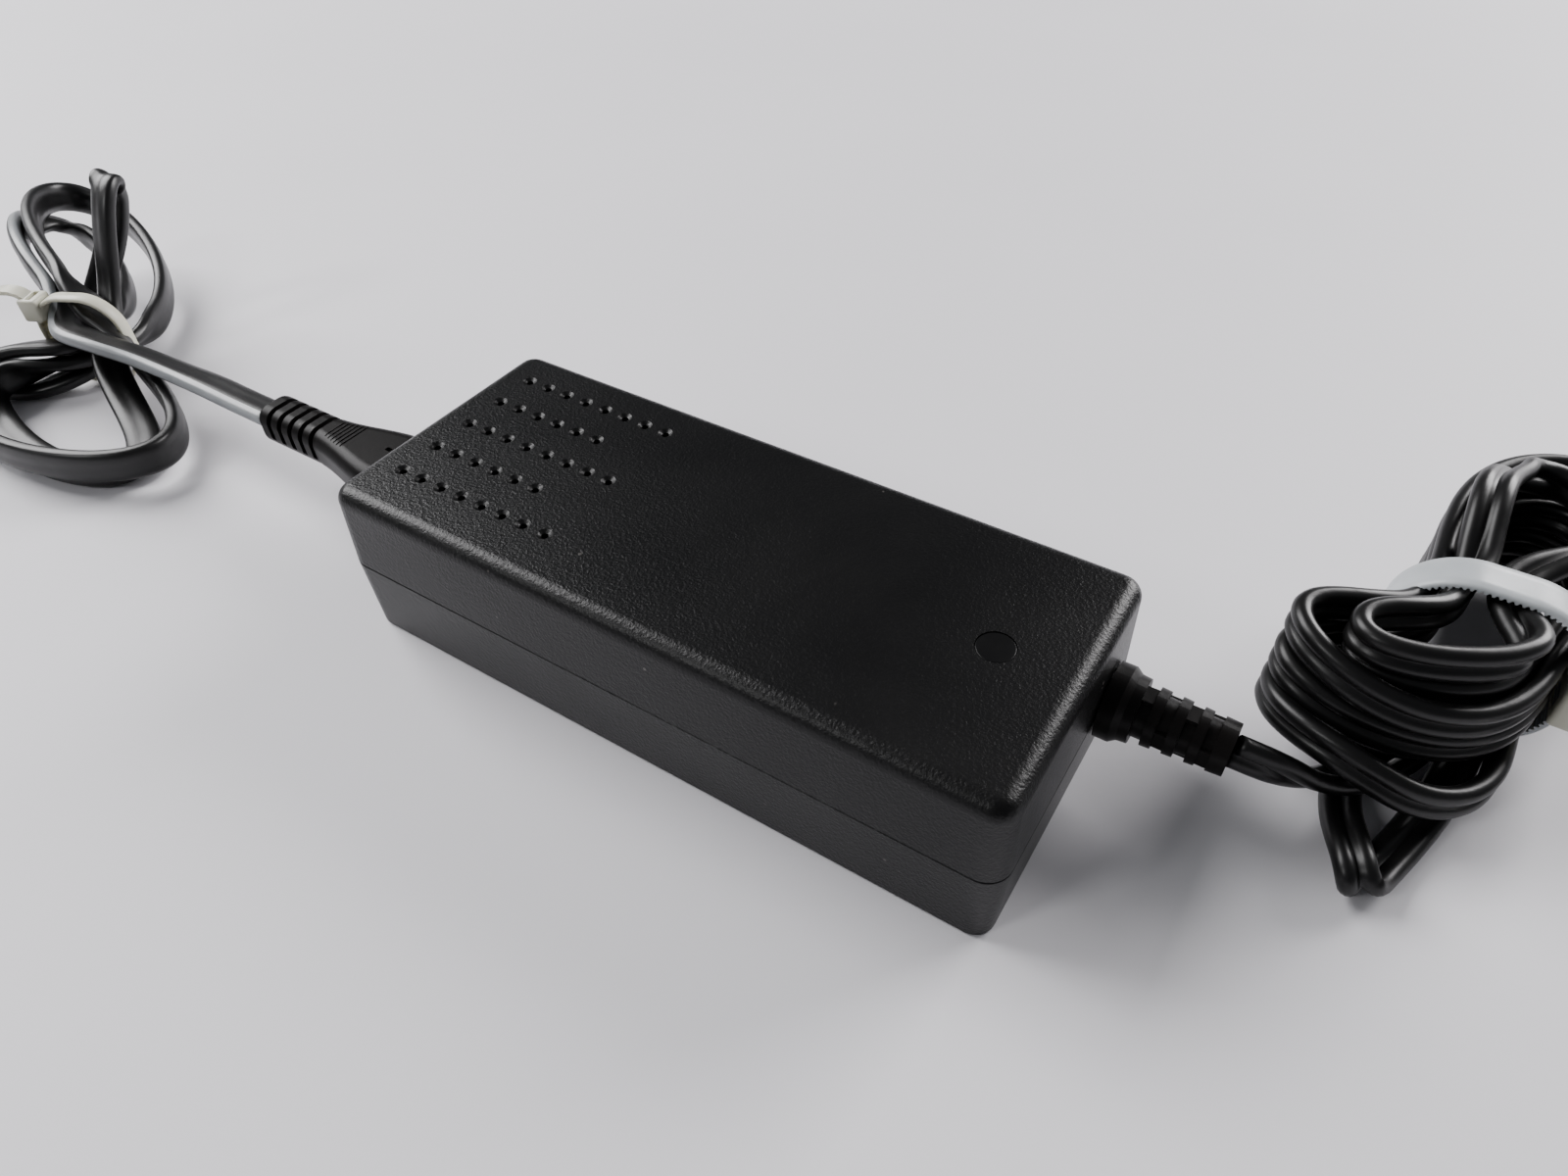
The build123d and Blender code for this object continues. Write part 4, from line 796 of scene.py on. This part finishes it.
def block(name, centre, axes, size, mat, bevel=0.5, holes=()):
    """moulded block with rounded edges and rectangular passages cut through it"""
    import bmesh
    bm = bmesh.new()
    bmesh.ops.create_cube(bm, size=1.0)
    ax = [Vector(a).normalized() for a in axes]
    for v in bm.verts:
        c = v.co.copy()
        p = Vector(centre)
        for k in range(3):
            p += ax[k] * (c[k] * size[k])
        v.co = p * MM
    bmesh.ops.recalc_face_normals(bm, faces=bm.faces)
    me = bpy.data.meshes.new(name)
    bm.to_mesh(me)
    bm.free()
    me.materials.append(mat)
    ob = bpy.data.objects.new(name, me)
    bpy.context.scene.collection.objects.link(ob)
    b = ob.modifiers.new("bevel", "BEVEL")
    b.width = bevel * MM
    b.segments = 3
    b.limit_method = "ANGLE"
    for i, (hc, hs) in enumerate(holes):
        bm = bmesh.new()
        bmesh.ops.create_cube(bm, size=1.0)
        for v in bm.verts:
            c = v.co.copy()
            p = Vector(centre)
            for k in range(3):
                p += ax[k] * (hc[k] + c[k] * hs[k])
            v.co = p * MM
        bmesh.ops.recalc_face_normals(bm, faces=bm.faces)
        hm = bpy.data.meshes.new("cut")
        bm.to_mesh(hm)
        bm.free()
        ho = bpy.data.objects.new("cut", hm)
        bpy.context.scene.collection.objects.link(ho)
        mod = ob.modifiers.new("cut", "BOOLEAN")
        mod.object = ho
        mod.operation = "DIFFERENCE"
        bpy.context.view_layer.update()
        new = bpy.data.meshes.new_from_object(ob.evaluated_get(bpy.context.evaluated_depsgraph_get()))
        ob.modifiers.clear()
        ob.data = new
        bpy.data.objects.remove(ho)
    outward(ob.data, 35)
    return ob


tie_mat = MATS["tie_natural"].m
# wide releasable tie on the low-voltage hank
dn = Vector(DC_TIE_N).normalized()
dc_side = Vector((0, 0, 1)).cross(dn).normalized()
dc_tie = band("dc_tie_band", DC_TIE_C, dn, (0, 0, 1), 14.9, 15.2, 11.6, 7.2, 1.3, 96, 0.5, 0.0, milky.m)
hx = Vector((127.7, 56.0, 15.8))
dc_head = block("dc_tie_head", hx, (dc_side, dn, (0, 0, 1)), (5.4, 10.6, 13.0), tie_mat, 0.9,
                holes=(((0.4, 0, 0), (1.9, 8.0, 20.0)), ((2.2, 0, -3.4), (2.4, 6.0, 3.2))))
# narrow tie on the mains hank
mn = Vector((-0.45, 0.89, 0)).normalized()
mains_side = Vector((0, 0, 1)).cross(mn).normalized()
mains_tie = band("mains_tie_band", (-186.5, -3.0, 12.3), mn, (0, 0, 1), 10.7, 11.5, 8.6, 3.6, 1.0, 50, 0.35, 0.7, tie_mat)
mh = Vector((-195.1, -7.3, 20.6))
mains_head = block("mains_tie_head", mh, (mains_side, mn, (0, 0, 1)), (4.8, 5.8, 5.6), tie_mat, 0.6,
                   holes=(((-0.2, 0, 0), (1.5, 4.0, 12.0)),))
for ob, b, s in ((dc_tie, "adapter", "tie_natural"), (dc_head, "adapter", "tie_natural"),
                 (mains_tie, "mains_lead", "tie_natural"), (mains_head, "mains_lead", "tie_natural")):
    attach(ob, b)
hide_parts("dc_cable_tie")
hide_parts("mains_cable_tie")

# tail of the narrow tie, pulled through its head and left long
tail_rows = [tuple(mh + mains_side * a + mn * b + Vector((0, 0, c))) + tuple(mn)
             for a, b, c in ((-0.2, 0.0, -3.6), (0.2, 0.0, 0.0), (1.6, 0.1, 3.2), (5.0, 0.2, 4.2), (9.5, 0.0, 3.4), (14.5, -0.3, 2.0))]
tail_line = centreline("tail_line", tail_rows)
strap = [(-1.75, -0.5), (1.75, -0.5), (1.75, 0.5), (0.9, 0.5), (0.9, 0.3), (-0.9, 0.3), (-0.9, 0.5), (-1.75, 0.5)]
mains_tie_tail = swept("mains_tie_tail", tail_line, tail_rows, strap, [tie_mat], lambda j, thin: 0)
outward(mains_tie_tail.data, 40)
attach(mains_tie_tail, "mains_lead")

# ---------------------------------------------------------------- floor and light
fm = Mat("studio_floor")
spots = fm.ramp(fm.noise(420.0, 4.0, 0.75), (0.715, 0.0), (0.75, 1.0))
patch = fm.ramp(fm.noise(14.0, 2.0), (0.55, 0.0), (0.70, 1.0))
base = fm.mix(fm.ramp(fm.noise(5.0, 4.0), (0.3, 0.0), (0.7, 1.0)), (0.735, 0.725, 0.757), (0.775, 0.765, 0.795))
fm.color(fm.mix(fm.math("MULTIPLY", fm.math("MULTIPLY", spots, patch), 0.35), base, (0.40, 0.38, 0.36)))
fm.put(Roughness=0.6)
fm.normal(fm.bump(fm.noise(300.0, 4.0), 0.15, 0.0002))
fme = bpy.data.meshes.new("floor")
S = 3.0
fme.from_pydata([(-S, -S, 0), (S, -S, 0), (S, S, 0), (-S, S, 0)], [], [(0, 1, 2, 3)])
fme.materials.append(fm.m)
floor = bpy.data.objects.new("floor", fme)
bpy.context.scene.collection.objects.link(floor)

world = bpy.data.worlds.new("world")
bpy.context.scene.world = world
world.use_nodes = True
bg = next(n for n in world.node_tree.nodes if n.type == "BACKGROUND")
bg.inputs["Color"].default_value = (0.93, 0.95, 1.0, 1.0)
bg.inputs["Strength"].default_value = WORLD


def area(name, at, to, size, watts, tint=(1, 1, 1)):
    d = bpy.data.lights.new(name, "AREA")
    d.shape = "RECTANGLE"
    d.size, d.size_y = size
    d.energy = watts
    d.color = tint
    o = bpy.data.objects.new(name, d)
    o.location = at
    o.rotation_euler = (Vector(to) - Vector(at)).to_track_quat("-Z", "Y").to_euler()
    bpy.context.scene.collection.objects.link(o)
    return o


for spec in LIGHTS:
    area(*spec)
